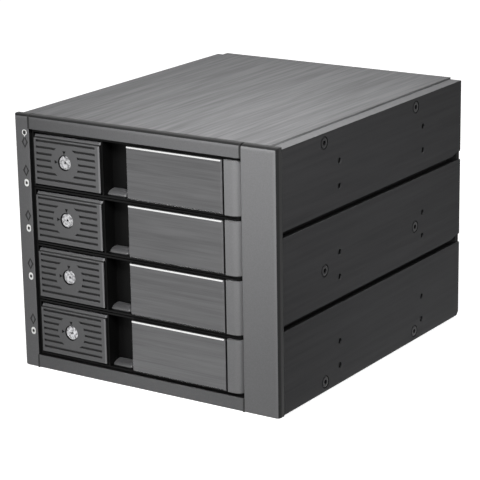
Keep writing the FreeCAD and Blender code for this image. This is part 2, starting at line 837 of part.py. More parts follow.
fan_square(ZERO, S("fan_flange"))
duct = new_sketch(fan_frame, "XZ_Plane", -S("fan_flange"))
circle(duct, 0, 0, BORE + S("motor_plate") / 2)
pad(fan_frame, duct, S("fan_depth") - S("fan_flange") * 2, reverse=True)
fan_square(S("fan_depth") - S("fan_flange"), S("fan_flange"))
duct_void = new_sketch(fan_frame, "XZ_Plane")
circle(duct_void, 0, 0, BORE)
for across, up in FAN_CORNERS:
    circle(duct_void, HOLE_STEP * across, HOLE_STEP * up, "fan_hole_radius")
pocket(fan_frame, duct_void, "fan_depth")

PLATE_DEPTH = S("fan_depth") - S("motor_plate")
struts = new_sketch(fan_frame, "XZ_Plane", -PLATE_DEPTH)
STRUT = S("motor_plate") / 2
STRUT_REACH = BORE + STRUT / 2
rectangle(struts, (-STRUT_REACH, STRUT_REACH), (-STRUT, STRUT))
pad(fan_frame, struts, "motor_plate", reverse=True)
strut_across = new_sketch(fan_frame, "XZ_Plane", -PLATE_DEPTH)
rectangle(strut_across, (-STRUT, STRUT), (-STRUT_REACH, STRUT_REACH))
pad(fan_frame, strut_across, "motor_plate", reverse=True)
motor = new_sketch(fan_frame, "XZ_Plane", -PLATE_DEPTH)
circle(motor, 0, 0, "rotor_hub_radius")
pad(fan_frame, motor, "motor_plate", reverse=True)
bearing = new_sketch(fan_frame, "XZ_Plane", -PLATE_DEPTH)
circle(bearing, 0, 0, S("shaft_radius") + S("shaft_gap"))
pocket(fan_frame, bearing, S("motor_plate"))
keep(fan_frame, "fan_frame")

# The rotor: a cup with seven blades that widen and twist towards the tip.
BLADE_COUNT = 7
ROOT_LEAN = 38
TIP_LEAN = 58
rotor = new_body("fan_rotor", FAN_X, FAN_FRONT, FAN_Z)
cup = new_sketch(rotor, "XZ_Plane", -S("rotor_face_gap"))
circle(cup, 0, 0, "rotor_hub_radius")
pad(rotor, cup, "rotor_hub_length", reverse=True)
shaft_start = S("rotor_face_gap") + S("rotor_hub_length")
shaft = new_sketch(rotor, "XZ_Plane", -shaft_start)
circle(shaft, 0, 0, "shaft_radius")
pad(rotor, shaft, S("fan_depth") - shaft_start - S("drive_gap"), reverse=True)


def blade_section(radius, lean, chord, thick):
    """A flat section across the blade, leaning from the fan's axis."""
    sketch = new_sketch(rotor, "YZ_Plane", radius)
    turn = math.radians(lean)
    middle = S("rotor_face_gap") + S("rotor_hub_length") / 2
    points = [(-chord / 2, ZERO), (chord / 2, ZERO), (chord / 2, thick), (-chord / 2, thick)]
    corners = []
    for along, over in points:
        corners.append((middle + along * math.cos(turn) - over * math.sin(turn),
                        along * math.sin(turn) + over * math.cos(turn)))
    polygon(sketch, corners)
    return sketch


BLADE_THICK = S("motor_plate") / 2
root_section = blade_section(S("rotor_hub_radius") - S("rotor_face_gap"), ROOT_LEAN,
                             S("rotor_hub_length") * 0.95, BLADE_THICK)
tip_section = blade_section(BORE - S("rotor_tip_gap"), TIP_LEAN, S("rotor_hub_length") * 1.35,
                            BLADE_THICK)
blade = rotor.newObject("PartDesign::AdditiveLoft", "blade")
blade.Profile = root_section
blade.Sections = [tip_section]
blade.Ruled = True
volume(rotor)
blades = rotor.newObject("PartDesign::PolarPattern", "blades")
blades.Originals = [blade]
blades.Axis = (next(f for f in rotor.Origin.OriginFeatures if f.Role == "Y_Axis"), [""])
blades.Angle = 360
blades.Occurrences = BLADE_COUNT
rotor.Tip = blades
doc.recompute()
keep(rotor, "fan_rotor")

# A stamped finger guard behind the fan: rings on four arms with eyes for the screws.
guard = new_body("fan_guard", FAN_X, FAN_REAR, FAN_Z)
WIRE = S("guard_wire")
RING_COUNT = 3
RING_STEP = BORE / RING_COUNT
for number in range(1, RING_COUNT + 1):
    ring = new_sketch(guard, "XZ_Plane")
    middle = RING_STEP * number
    circle(ring, 0, 0, middle)
    circle(ring, 0, 0, middle - WIRE)
    if number == 1:
        arms = new_sketch(guard, "XZ_Plane")
        reach = HOLE_STEP
        lean = WIRE / 2
        polygon(arms, [(reach + lean, reach - lean), (reach - lean, reach + lean),
                       (-reach - lean, -reach + lean), (-reach + lean, -reach - lean)])
        pad(guard, arms, "guard_thick", reverse=True)
        other_arms = new_sketch(guard, "XZ_Plane")
        polygon(other_arms, [(-reach - lean, reach - lean), (-reach + lean, reach + lean),
                             (reach + lean, -reach + lean), (reach - lean, -reach - lean)])
        pad(guard, other_arms, "guard_thick", reverse=True)
    pad(guard, ring, "guard_thick", reverse=True)
eyes = new_sketch(guard, "XZ_Plane")
eye_holes = new_sketch(guard, "XZ_Plane")
for across, up in FAN_CORNERS:
    hexagon(eyes, HOLE_STEP * across, HOLE_STEP * up, S("fan_head_radius") + WIRE)
    circle(eye_holes, HOLE_STEP * across, HOLE_STEP * up, "fan_hole_radius")
pad(guard, eyes, "guard_thick", reverse=True)
pocket(guard, eye_holes, "guard_thick")
keep(guard, "fan_guard")

# Hexagon-headed screws go through the guard and both flanges.
GUARD_BACK = FAN_REAR + S("guard_thick")
fan_screws = []
for number, (across, up) in enumerate(FAN_CORNERS):
    screw = new_body("fan_screw%d" % number, FAN_X + HOLE_STEP * across, GUARD_BACK,
                     FAN_Z + HOLE_STEP * up)
    head = new_sketch(screw, "XZ_Plane")
    hexagon(head, 0, 0, S("fan_head_radius"))
    pad(screw, head, "fan_head_height", reverse=True)
    shank = new_sketch(screw, "XZ_Plane")
    circle(shank, 0, 0, S("fan_hole_radius") - S("pin_gap"))
    pad(screw, shank, S("fan_depth") + S("guard_thick"))
    fan_screws.append(screw)
keep(group("fan_screws", fan_screws), "fan_screws")

# ---------------------------------------------------------------- backplane

SOCKET_LEFT = BAY_MIDDLE - S("drive_width") / 2 + S("socket_height") / 2
SOCKET_FLOOR = S("carrier_lift") + S("carrier_sheet") + S("drive_gap")
BOARD_LEFT = GUIDE_LEFT_FACE + S("guide_gap")
BOARD_RIGHT = GUIDE_RIGHT_FACE - S("guide_gap")
board = new_body("backplane_board")
board_sketch = new_sketch(board, "XZ_Plane", -BOARD_DEPTH)
rectangle(board_sketch, (BOARD_LEFT, BOARD_RIGHT), (OPENING_FLOOR, OPENING_ROOF))
for tray in range(TRAY_COUNT):
    # An air slot over each socket, and one beside it.
    low = tray_floor(tray) + SOCKET_FLOOR + S("socket_height") * 1.4
    high = tray_floor(tray) + TRAY_HEIGHT - S("socket_height") / 2
    rectangle(board_sketch, (SOCKET_LEFT, SOCKET_LEFT + S("socket_width")), (low, high))
    rectangle(board_sketch, (SOCKET_LEFT + S("socket_width") + S("socket_height"),
                             WINDOW_LEFT - S("socket_height") / 2), (low, high))
pad(board, board_sketch, "board_thick", reverse=True)
keep(board, "backplane_board")

sockets = []
for tray in range(TRAY_COUNT):
    body = new_body("drive_socket%d" % tray, z=tray_floor(tray) + SOCKET_FLOOR)
    outer = new_sketch(body, "XZ_Plane", -BOARD_DEPTH)
    rectangle(outer, (SOCKET_LEFT, SOCKET_LEFT + S("socket_width")), (ZERO, S("socket_height")))
    pad(body, outer, "socket_depth")
    slot = new_sketch(body, "XZ_Plane", -(BOARD_DEPTH - S("socket_depth")))
    wall = S("socket_height") / 5
    rectangle(slot, (SOCKET_LEFT + wall, SOCKET_LEFT + S("socket_width") - wall), (wall * 2, wall * 4))
    pocket(body, slot, S("socket_depth") * 0.8)
    sockets.append(body)
keep(group("drive_sockets", sockets), "drive_sockets")


def plug_block(name, left, width, low, height, reach):
    """A rear connector: a shrouded block with one slot open to the rear."""
    body = new_body(name)
    block = new_sketch(body, "XZ_Plane", -BOARD_BACK)
    rectangle(block, (left, left + width), (low, low + height))
    pad(body, block, reach, reverse=True)
    slot = new_sketch(body, "XZ_Plane", -(BOARD_BACK + reach))
    wall = width / 6
    rectangle(slot, (left + wall, left + width - wall), (low + wall, low + height - wall))
    pocket(body, slot, reach * 0.8, reverse=True)
    return body


data_plugs = []
power_plugs = []
PLUG = S("socket_height")
for tray in range(TRAY_COUNT):
    low = tray_floor(tray) + TRAY_HEIGHT * 0.22
    data_plugs.append(plug_block("data_plug%d" % tray, WINDOW_LEFT + PLUG / 2, PLUG, low,
                                 TRAY_HEIGHT / 2, PLUG * 1.7))
for number in range(2):
    low = tray_floor(number * 2) + TRAY_HEIGHT * 0.44
    power_plugs.append(plug_block("power_plug%d" % number, WINDOW_LEFT + PLUG * 2.6, PLUG * 1.6, low,
                                  TRAY_HEIGHT * 0.8, PLUG * 1.7))
keep(group("data_connectors", data_plugs), "data_connectors")
keep(group("power_connectors", power_plugs), "power_connectors")

# ---------------------------------------------------------------- trays

TRAY_LEFT = LEFT_EDGE + S("tray_side_gap")
TRAY_RIGHT = RIGHT_EDGE - S("lever_end_gap")
BACK_WALL = S("tray_front_depth") - S("tray_back_wall")
BARREL = S("barrel_radius")
HINGE_X = TRAY_RIGHT - BARREL
HINGE_Y = S("barrel_setback") + BARREL
LEVER_HEIGHT = TRAY_HEIGHT - S("tray_skin") * 2 - S("lever_rise_gap") * 2
PLATE_RIGHT = TRAY_RIGHT - BARREL * 1.9 - S("hinge_groove")
PLATE_LEFT = PLATE_RIGHT - S("plate_width")
LEVER_FRONT = S("plate_thick") - S("plate_proud")
LEVER_BACK = LEVER_FRONT + S("lever_arm")
BUTTON_LEFT = TRAY_LEFT + S("tray_side_wall") + S("button_side_gap")
BUTTON_RIGHT = BUTTON_LEFT + S("button_width")
BUTTON_HEIGHT = TRAY_HEIGHT - S("tray_skin") * 2 - S("button_rise_gap") * 2
BUTTON_BACK = S("button_setback") + S("button_depth")
POCKET_RIGHT = BUTTON_RIGHT + S("drive_gap")
RECESS_LEFT = POCKET_RIGHT + S("partition_wall")
LEVER_ROOM_LEFT = PLATE_LEFT - S("drive_gap")
TRAY_MIDDLE = TRAY_HEIGHT / 2
ARM_THICK = S("partition_wall") * 1.25
ARM_HALF = S("barrel_radius") * 0.75
ARM_FRONT = BACK_WALL - S("button_travel") - ARM_THICK - S("drive_gap")
SLOT_HALF = ARM_HALF + S("button_rise_gap")


def tray_front(index):
    """The moulded head of a tray: button pocket, finger recess and lever room."""
    body = new_body("tray_front_%d" % (index + 1), z=tray_floor(index))
    footprint = new_sketch(body, "XY_Plane")
    rectangle(footprint, (TRAY_LEFT, TRAY_RIGHT), (S("tray_setback"), S("tray_front_depth")))
    pad(body, footprint, TRAY_HEIGHT)
    skin = S("tray_skin")
    inside = (skin, TRAY_HEIGHT - skin)
    front = -S("tray_setback")
    rooms = [
        (TRAY_LEFT + S("tray_side_wall"), POCKET_RIGHT, BACK_WALL),
        (RECESS_LEFT, LEVER_ROOM_LEFT, S("recess_depth")),
        (LEVER_ROOM_LEFT, TRAY_RIGHT + skin, BACK_WALL),
    ]
    for left, right, depth in rooms:
        room = new_sketch(body, "XZ_Plane", front)
        rectangle(room, (left, right), inside)
        pocket(body, room, depth - S("tray_setback"))
    # A passage for the button's latch arm, behind the recess.
    passage = new_sketch(body, "YZ_Plane", LEVER_ROOM_LEFT)
    rectangle(passage, (ARM_FRONT - S("drive_gap"), BACK_WALL),
              (TRAY_MIDDLE - SLOT_HALF, TRAY_MIDDLE + SLOT_HALF))
    pocket(body, passage, LEVER_ROOM_LEFT - POCKET_RIGHT)
    # A sloping lip leads a finger into the recess.
    lip = new_sketch(body, "YZ_Plane", RECESS_LEFT)
    polygon(lip, [(S("recess_depth") / 2, skin), (S("recess_depth"), skin),
                  (S("recess_depth"), skin + S("recess_lip"))])
    pad(body, lip, LEVER_ROOM_LEFT - RECESS_LEFT - S("barrel_radius"))
    # Air slots in the back wall behind the lever.
    slots = new_sketch(body, "XZ_Plane", -BACK_WALL)
    step = S("barrel_radius") * 2
    first = LEVER_ROOM_LEFT + step
    rectangle(slots, (first, first + S("barrel_radius")), (skin * 4, TRAY_HEIGHT - skin * 4))
    air = pocket(body, slots, "tray_back_wall")
    step_pattern(body, [air], "YZ_Plane", step, 5)
    pin = new_sketch(body, "XY_Plane")
    circle(pin, HINGE_X, HINGE_Y, "pin_radius")
    pocket(body, pin, TRAY_HEIGHT, reverse=True)

    def ear_edge(point):
        return close(point.x, TRAY_RIGHT) and close(point.y, S("tray_setback"))

    dress(body, "Fillet", ear_edge, BARREL * 0.7)
    return body


CARRIER_END = BOARD_DEPTH - S("carrier_end_gap")


def carrier(index):
    """The folded steel cradle of a drive, with runners along both sides."""
    body = new_body("drive_carrier_%d" % (index + 1), x=BAY_MIDDLE, z=tray_floor(index) + S("carrier_lift"))
    side = CARRIER_HALF
    metal = S("carrier_sheet")
    top = S("carrier_height")
    reach = (RIGHT_EDGE - LEFT_EDGE) / 2 - S("runner_end_gap")
    section = new_sketch(body, "XZ_Plane", -S("tray_front_depth"))
    polygon(section, [
        (-reach, top), (-side + metal, top), (-side + metal, metal), (side - metal, metal),
        (side - metal, top), (reach, top), (reach, top - metal), (side, top - metal),
        (side, ZERO), (-side, ZERO), (-side, top - metal), (-reach, top - metal)])
    pad(body, section, CARRIER_END - S("tray_front_depth"), reverse=True)
    edge = S("window_edge")
    window = new_sketch(body, "XY_Plane")
    rectangle(window, (-side + edge / 2, side - edge / 2),
              (S("tray_front_depth") + edge, CARRIER_END - edge))
    pocket(body, window, metal, reverse=True)
    # Slots for the side fixings of a 3.5 inch drive, measured from its connector end.
    drive_rear = S("tray_front_depth") + S("drive_gap") + S("drive_length")
    holes = new_sketch(body, "YZ_Plane", side)
    half = S("drive_slot_width") / 2
    rise = metal + S("drive_hole_rise")
    for run in (ZERO, S("drive_hole_run")):
        place = drive_rear - S("drive_hole_rear") - run
        rectangle(holes, (place - half * 2, place + half * 2), (rise - half, rise + half))
    pocket(body, holes, side * 2)
    return body


def lever(index):
    """The handle: an arm that ends in a round barrel on the hinge pin."""
    body = new_body("lever_%d" % (index + 1), z=tray_floor(index) + S("tray_skin") + S("lever_rise_gap"))
    plan = new_sketch(body, "XY_Plane")
    groove_right = PLATE_RIGHT + S("hinge_groove")
    groove_floor = LEVER_FRONT + S("hinge_groove")
    outline(plan, [
        (PLATE_LEFT, LEVER_FRONT), (PLATE_RIGHT, LEVER_FRONT), (PLATE_RIGHT, groove_floor),
        (groove_right, groove_floor), (groove_right, S("barrel_setback")),
        (HINGE_X, HINGE_Y, BARREL, -90, 90),
        (HINGE_X - BARREL, LEVER_BACK), (PLATE_LEFT + S("grip_slope"), LEVER_BACK),
        (PLATE_LEFT, LEVER_BACK - S("grip_slope"))])
    circle(plan, HINGE_X, HINGE_Y, S("pin_radius") + S("pin_gap"))
    pad(body, plan, LEVER_HEIGHT)
    skin = S("lever_skin")
    hollow = new_sketch(body, "XZ_Plane", -LEVER_BACK)
    first = PLATE_LEFT + S("grip_slope") + skin * 2
    last = HINGE_X - BARREL - skin * 2
    middle = (first + last) / 2
    rectangle(hollow, (first, middle - skin / 2), (skin, LEVER_HEIGHT - skin))
    rectangle(hollow, (middle + skin / 2, last), (skin, LEVER_HEIGHT - skin))
    pocket(body, hollow, S("lever_arm") - skin, reverse=True)
    # The catch behind the free end, which the button's arm holds.
    catch = new_sketch(body, "XY_Plane", LEVER_HEIGHT / 2 - ARM_HALF)
    start = PLATE_LEFT + S("button_setback")
    rectangle(catch, (start, start + S("tray_back_wall")), (LEVER_BACK - S("grip_slope"), BACK_WALL - skin))
    pad(body, catch, ARM_HALF * 2)
    return body


def lever_plate(index):
    """The brushed plate bonded to the lever, with bright bevelled edges."""
    height = LEVER_HEIGHT - S("plate_rise_gap") * 2
    floor = tray_floor(index) + S("tray_skin") + S("lever_rise_gap") + S("plate_rise_gap")
    body = new_body("lever_plate_%d" % (index + 1), z=floor)
    face = new_sketch(body, "XZ_Plane", S("plate_proud"))
    rectangle(face, (PLATE_LEFT, PLATE_RIGHT), (ZERO, height))
    pad(body, face, "plate_thick", reverse=True)

    def front_edge(point):
        return close(point.y, -S("plate_proud").value)

    dress(body, "Chamfer", front_edge, "plate_bevel")
    return body


def latch_button(index):
    """The release button: ribbed, with a clear round field about the lock."""
    floor = tray_floor(index) + S("tray_skin") + S("button_rise_gap")
    body = new_body("latch_button_%d" % (index + 1), z=floor)
    block = new_sketch(body, "XY_Plane")
    rectangle(block, (BUTTON_LEFT, BUTTON_RIGHT), (S("button_setback"), BUTTON_BACK))
    pad(body, block, BUTTON_HEIGHT)
    # A skirt at the rear slides on the walls of its pocket.
    skirt = new_sketch(body, "XZ_Plane", S("button_skirt") - BUTTON_BACK)
    slide = S("slide_gap")
    rise = S("button_rise_gap") - slide
    rectangle(skirt, (TRAY_LEFT + S("tray_side_wall") + slide, POCKET_RIGHT - slide),
              (-rise, BUTTON_HEIGHT + rise))
    pad(body, skirt, "button_skirt", reverse=True)

    def top_edge(point):
        return close(point.y, S("button_setback")) and close(point.z, BUTTON_HEIGHT)

    dress(body, "Chamfer", top_edge, "button_bevel")
    lock_x = (BUTTON_LEFT + BUTTON_RIGHT) / 2 - S("lock_offset")
    lock_z = BUTTON_HEIGHT / 2
    front = -S("button_setback")
    rib = new_sketch(body, "XZ_Plane", front)
    half = S("button_groove_height") / 2
    low = lock_z - S("button_groove_pitch") * 3 - half
    rectangle(rib, (BUTTON_LEFT + half * 2, BUTTON_RIGHT - S("button_margin")), (low, low + half * 2))
    groove = pocket(body, rib, "button_groove_depth")
    step_pattern(body, [groove], "XY_Plane", S("button_groove_pitch"), 7)
    field = new_sketch(body, "XZ_Plane", front - S("button_groove_depth"))
    circle(field, lock_x, lock_z, "button_clear_radius")
    pad(body, field, "button_groove_depth")
    bore = new_sketch(body, "XZ_Plane", front)
    circle(bore, lock_x, lock_z, S("lock_radius") + S("lock_gap"))
    pocket(body, bore, "button_depth")
    # Marks for the lock's two positions, at twelve and at nine o'clock.
    marks = new_sketch(body, "XZ_Plane", front)
    near = S("lock_radius") + S("lock_rim")
    far = near + half * 2
    polygon(marks, [(lock_x, lock_z + near), (lock_x + half, lock_z + far), (lock_x - half, lock_z + far)])
    polygon(marks, [(lock_x - near, lock_z), (lock_x - far, lock_z + half), (lock_x - far, lock_z - half)])
    pocket(body, marks, S("button_groove_depth") / 2)
    # The latch arm runs behind the finger recess and stops beside the lever's catch.
    arm = new_sketch(body, "XY_Plane", lock_z - ARM_HALF)
    stem_left = BUTTON_RIGHT - BARREL * 2
    stem_right = stem_left + BARREL
    arm_end = LEVER_ROOM_LEFT - S("drive_gap")
    polygon(arm, [(stem_left, BUTTON_BACK), (stem_right, BUTTON_BACK), (stem_right, ARM_FRONT),
                  (arm_end, ARM_FRONT), (arm_end, ARM_FRONT + ARM_THICK),
                  (stem_left, ARM_FRONT + ARM_THICK)])
    pad(body, arm, ARM_HALF * 2)
    return body


def key_lock(index):
    """The lock's barrel, with a three-sided key hole and a pointer notch."""
    lock_x = (BUTTON_LEFT + BUTTON_RIGHT) / 2 - S("lock_offset")
    lock_z = tray_floor(index) + S("tray_skin") + S("button_rise_gap") + BUTTON_HEIGHT / 2
    face = S("button_setback") - S("lock_proud")
    body = new_body("key_lock_%d" % (index + 1), lock_x, face, lock_z)
    disc = new_sketch(body, "XZ_Plane")
    circle(disc, 0, 0, "lock_radius")
    pad(body, disc, "lock_length", reverse=True)
    key = new_sketch(body, "XZ_Plane")
    radius = S("key_radius")
    polygon(key, [(radius * math.cos(math.radians(a)), radius * math.sin(math.radians(a)))
                  for a in (90, 210, 330)])
    pocket(body, key, radius)
    notch = new_sketch(body, "XZ_Plane")
    half = S("lock_rim")
    rectangle(notch, (-half, half), (S("lock_radius") - half * 2, S("lock_radius") + half))
    pocket(body, notch, half)
    return body


for tray in range(TRAY_COUNT):
    number = tray + 1
    keep(tray_front(tray), "tray_front_%d" % number)
    keep(carrier(tray), "drive_carrier_%d" % number)
    keep(lever(tray), "lever_%d" % number)
    keep(lever_plate(tray), "lever_plate_%d" % number)
    keep(latch_button(tray), "latch_button_%d" % number)
    keep(key_lock(tray), "key_lock_%d" % number)
    keep(rod("hinge_pin_%d" % number, HINGE_X, HINGE_Y, tray_floor(tray), "pin_radius", TRAY_HEIGHT, "z"),
         "hinge_pin_%d" % number)


# ---------------------------------------------------------------- writing

doc.recompute()
for thing in doc.Objects:
    if "Invalid" in thing.State or "Error" in thing.State:
        raise RuntimeError("failed object: %s %s" % (thing.Name, thing.State))
os.makedirs("parts", exist_ok=True)
for thing in SUB_PARTS:
    if thing.Shape.isNull() or not thing.Shape.isValid():
        raise RuntimeError("bad shape: " + thing.Label)
for thing in SUB_PARTS:
    thing.Shape.exportStep("parts/%s.step" % thing.Label)
    print("%-22s %2d solids %10.1f mm3" % (thing.Label, len(thing.Shape.Solids), thing.Shape.Volume))
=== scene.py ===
"""Hot swap drive cage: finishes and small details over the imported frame, laid out as an add-on."""

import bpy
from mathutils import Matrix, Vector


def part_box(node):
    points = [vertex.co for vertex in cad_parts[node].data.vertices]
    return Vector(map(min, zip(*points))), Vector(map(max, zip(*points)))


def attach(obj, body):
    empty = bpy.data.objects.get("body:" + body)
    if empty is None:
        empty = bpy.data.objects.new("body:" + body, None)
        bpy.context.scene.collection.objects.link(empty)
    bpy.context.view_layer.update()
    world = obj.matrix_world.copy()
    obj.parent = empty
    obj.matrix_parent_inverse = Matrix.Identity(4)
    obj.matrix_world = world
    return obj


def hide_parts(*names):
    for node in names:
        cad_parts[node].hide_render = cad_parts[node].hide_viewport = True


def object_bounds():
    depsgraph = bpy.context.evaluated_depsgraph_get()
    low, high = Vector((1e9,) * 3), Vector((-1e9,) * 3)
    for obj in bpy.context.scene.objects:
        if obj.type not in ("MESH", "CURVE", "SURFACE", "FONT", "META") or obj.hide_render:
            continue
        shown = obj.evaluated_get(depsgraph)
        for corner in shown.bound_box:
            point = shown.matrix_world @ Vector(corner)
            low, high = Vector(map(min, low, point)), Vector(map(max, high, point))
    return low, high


bl_info = {
    "name": "Hot Swap Drive Cage",
    "version": (1, 0, 0),
    "blender": (4, 5, 0),
    "location": "3D View > Sidebar > Drive Cage",
    "description": "Finishes, printed marks and small details of a four-tray drive cage",
    "category": "Object",
}

import math

import bmesh
import bpy
import numpy as np
from bpy.props import FloatProperty, FloatVectorProperty, PointerProperty
from mathutils import Matrix

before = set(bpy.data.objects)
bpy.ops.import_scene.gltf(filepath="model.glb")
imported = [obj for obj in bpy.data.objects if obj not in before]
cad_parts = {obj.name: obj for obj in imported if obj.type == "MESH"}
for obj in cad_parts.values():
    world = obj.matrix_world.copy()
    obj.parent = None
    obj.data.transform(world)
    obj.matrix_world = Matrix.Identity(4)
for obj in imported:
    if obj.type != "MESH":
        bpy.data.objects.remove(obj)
CAD_BOX = [list(corner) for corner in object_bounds()]
MM = 0.001
TRAYS = (1, 2, 3, 4)


def linear(code):
    """An sRGB hex colour as linear red, green and blue."""
    values = [int(code[i:i + 2], 16) / 255 for i in (1, 3, 5)]
    return tuple(v / 12.92 if v <= 0.04045 else ((v + 0.055) / 1.055) ** 2.4 for v in values)


# ---------------------------------------------------------------- what a user would change

def length(name, description, millimetres):
    """A length, given in millimetres and kept in metres."""
    return FloatProperty(name=name, description=description, default=millimetres * MM,
                         unit="LENGTH", precision=5)


def colour(name, description, code):
    """A colour, given as sRGB hex and kept linear."""
    return FloatVectorProperty(name=name, description=description, default=linear(code),
                               subtype="COLOR", size=3, min=0, max=1)


class CageSizes(bpy.types.PropertyGroup):
    """Sizes of the printed marks and of the surface patterns."""
    ink_lift: length("Ink lift", "How far printed ink stands off the post", 0.03)
    ink_line: length("Ink line", "Width of a printed line", 0.55)
    key_ring: length("Key ring", "Outer radius of the ring of the key mark", 1.4)
    # The seam line is a black strip of painted shadow laid in the gap between a rail and a post.
    seam_line: length("Seam line", "Width of the dark seam between a rail and a post", 1.1)
    drive_mark: length("Drive mark", "Height of the drive symbol", 3.6)
    # Real scratches, pits and mould grain are about 0.1 mm, too fine to show at this distance, so
    # the three are drawn coarser, each as fine as still shows.
    brush_pitch: length("Brush pitch", "Spacing of the brushed lines across the grain", 0.6)
    blast_grit: length("Blast grit", "Size of the pits left by bead blasting", 0.35)
    mould_grain: length("Mould grain", "Size of the texture of the mouldings", 0.5)
    cut_depth: length("Cut depth", "How far back the plates' cut edges start", 0.05)
    lock_sink: length("Lock sink", "How far a lock's face sits behind its button's face", 0.5)


class CageColours(bpy.types.PropertyGroup):
    """Colours of the finishes."""
    # The bezel's grey is painted light: the bars are dyed black, painted lighter to stand in for the lamp's
    # reflection.
    bezel: colour("Bezel", "Dyed oxide of the bezel bars", "#626263")
    # The rails are painted a little darker than the posts, as painted shade.
    rail: colour("Rails", "Dyed oxide of the bezel's top and bottom rails", "#575758")
    side: colour("Sides", "Dyed oxide of the brushed side panels", "#2d2d2e")
    # The covers' grey is painted light: they are the sides' black oxide, painted lighter as lit from above.
    cover: colour("Covers", "Dyed oxide of the brushed top and bottom covers", "#666667")
    plate: colour("Plate", "Dyed oxide of the handle plates", "#646465")
    cut: colour("Cut edge", "Bare metal of the plates' diamond-cut edges", "#f4f4f4")
    lever: colour("Lever", "Dyed oxide of the levers and their hinge barrels", "#626263")
    button: colour("Button", "Moulded plastic of the release buttons", "#525253")
    tray: colour("Tray", "Moulded plastic of the tray fronts", "#060606")
    ink: colour("Ink", "Printed marks on the left post", "#f2f2f0")
    board: colour("Board", "Solder mask of the circuit boards", "#0d4a2c")


# ---------------------------------------------------------------- finishes

# The two sides of an edge that a region can lie on.
OVER, UNDER = "GREATER_THAN", "LESS_THAN"

# How bright each painted shade or painted highlight is beside the rest of the finish it is painted on.
SEAT_SHADE = 0.12      # the edge of a countersink
FOLD_SHADE = 0.1       # the folds of the side panels, which the lamps don't reach
FLANK_SHADE = 0.06     # the tops and flanks of the bezel bars
UNDER_SHADE = 0.03     # a lever's metal under its plate
GROOVE_SHADE = 0.08    # the floors of a button's grooves
EDGE_HIGHLIGHT_SHARE = 1.9     # a painted highlight along the right edge of a button

# A scratch is this many pitches long.  Broad bands, as a worn brush leaves them, are this many pitches
# wide and long.
SCRATCH_RUN = 45
BAND_WIDTH, BAND_RUN = 4, 110
SCRATCH_DEPTH = 0.06 * MM

TRACK_TILE = 12 * MM   # the repeat of a board's copper tracks, which are 0.36 mm wide
INK_GRAIN = 0.8 * MM   # the unevenness of an ink film, drawn coarser than the 0.1 mm of a real screen
PLASTIC_IOR = 1.53


def add(tree, kind, links=None, **settings):
    """Add a node; links maps its inputs to outputs or values, settings are its own properties."""
    node = tree.nodes.new(kind)
    for key, value in settings.items():
        setattr(node, key, value)
    for key, value in (links or {}).items():
        socket = node.inputs[key]
        if isinstance(value, bpy.types.NodeSocket):
            tree.links.new(value, socket)
        else:
            socket.default_value = value
    return node


def start(name):
    """A new material with its tree, its shader and its Object coordinates."""
    material = bpy.data.materials.new(name)
    material.use_nodes = True
    tree = material.node_tree
    shader = tree.nodes["Principled BSDF"]
    place = add(tree, "ShaderNodeTexCoord").outputs["Object"]
    return material, tree, shader, place


def shade(base, share):
    """A linear colour at a share of its brightness, never above full."""
    return tuple(min(1.0, c * share) for c in base)


def tone(tree, factor, base, low, high):
    """The base colour made darker or lighter between two shares as the factor runs from 0 to 1."""
    ramp = add(tree, "ShaderNodeValToRGB", {"Fac": factor})
    for element, share in zip(ramp.color_ramp.elements, (low, high)):
        element.color = (*shade(base, share), 1)
    return ramp.outputs["Color"]


def region(tree, place, edges):
    """1 in the part of a piece that lies past all the edges, and 0 elsewhere.  An edge is an axis, the
    side that counts and a place along the axis; the parts are multiplied together."""
    inside = None
    for axis, side, edge in edges:
        along = add(tree, "ShaderNodeSeparateXYZ", {"Vector": place}).outputs[axis]
        past = add(tree, "ShaderNodeMath", {0: along, 1: edge}, operation=side).outputs[0]
        inside = past if inside is None else add(
            tree, "ShaderNodeMath", {0: inside, 1: past}, operation="MULTIPLY").outputs[0]
    return inside


def rings_round(tree, place, spots, middle, half):
    """1 in a ring of a middle radius and half a width round each spot, seen along x, and 0 elsewhere:
    the distance to the nearest spot is compared with the radius."""
    flat = add(tree, "ShaderNodeMapping", {"Vector": place, "Scale": (0.0, 1.0, 1.0)}).outputs["Vector"]
    nearest = None
    for spot in spots:
        reach = add(tree, "ShaderNodeVectorMath", {0: flat, 1: (0.0, spot[1], spot[2])},
                    operation="DISTANCE").outputs["Value"]
        nearest = reach if nearest is None else add(
            tree, "ShaderNodeMath", {0: nearest, 1: reach}, operation="MINIMUM").outputs[0]
    return add(tree, "ShaderNodeMath", {0: nearest, 1: middle, 2: half}, operation="COMPARE").outputs[0]


def painted_over(tree, skin, painted_shading):
    """The skin with the colours of painted light and shade laid over it in turn, each where its mask is 1."""
    for mask, over in painted_shading:
        skin = add(tree, "ShaderNodeMix", {"Factor": mask, "A": skin, "B": (*over, 1)},
                   data_type="RGBA").outputs["Result"]
    return skin


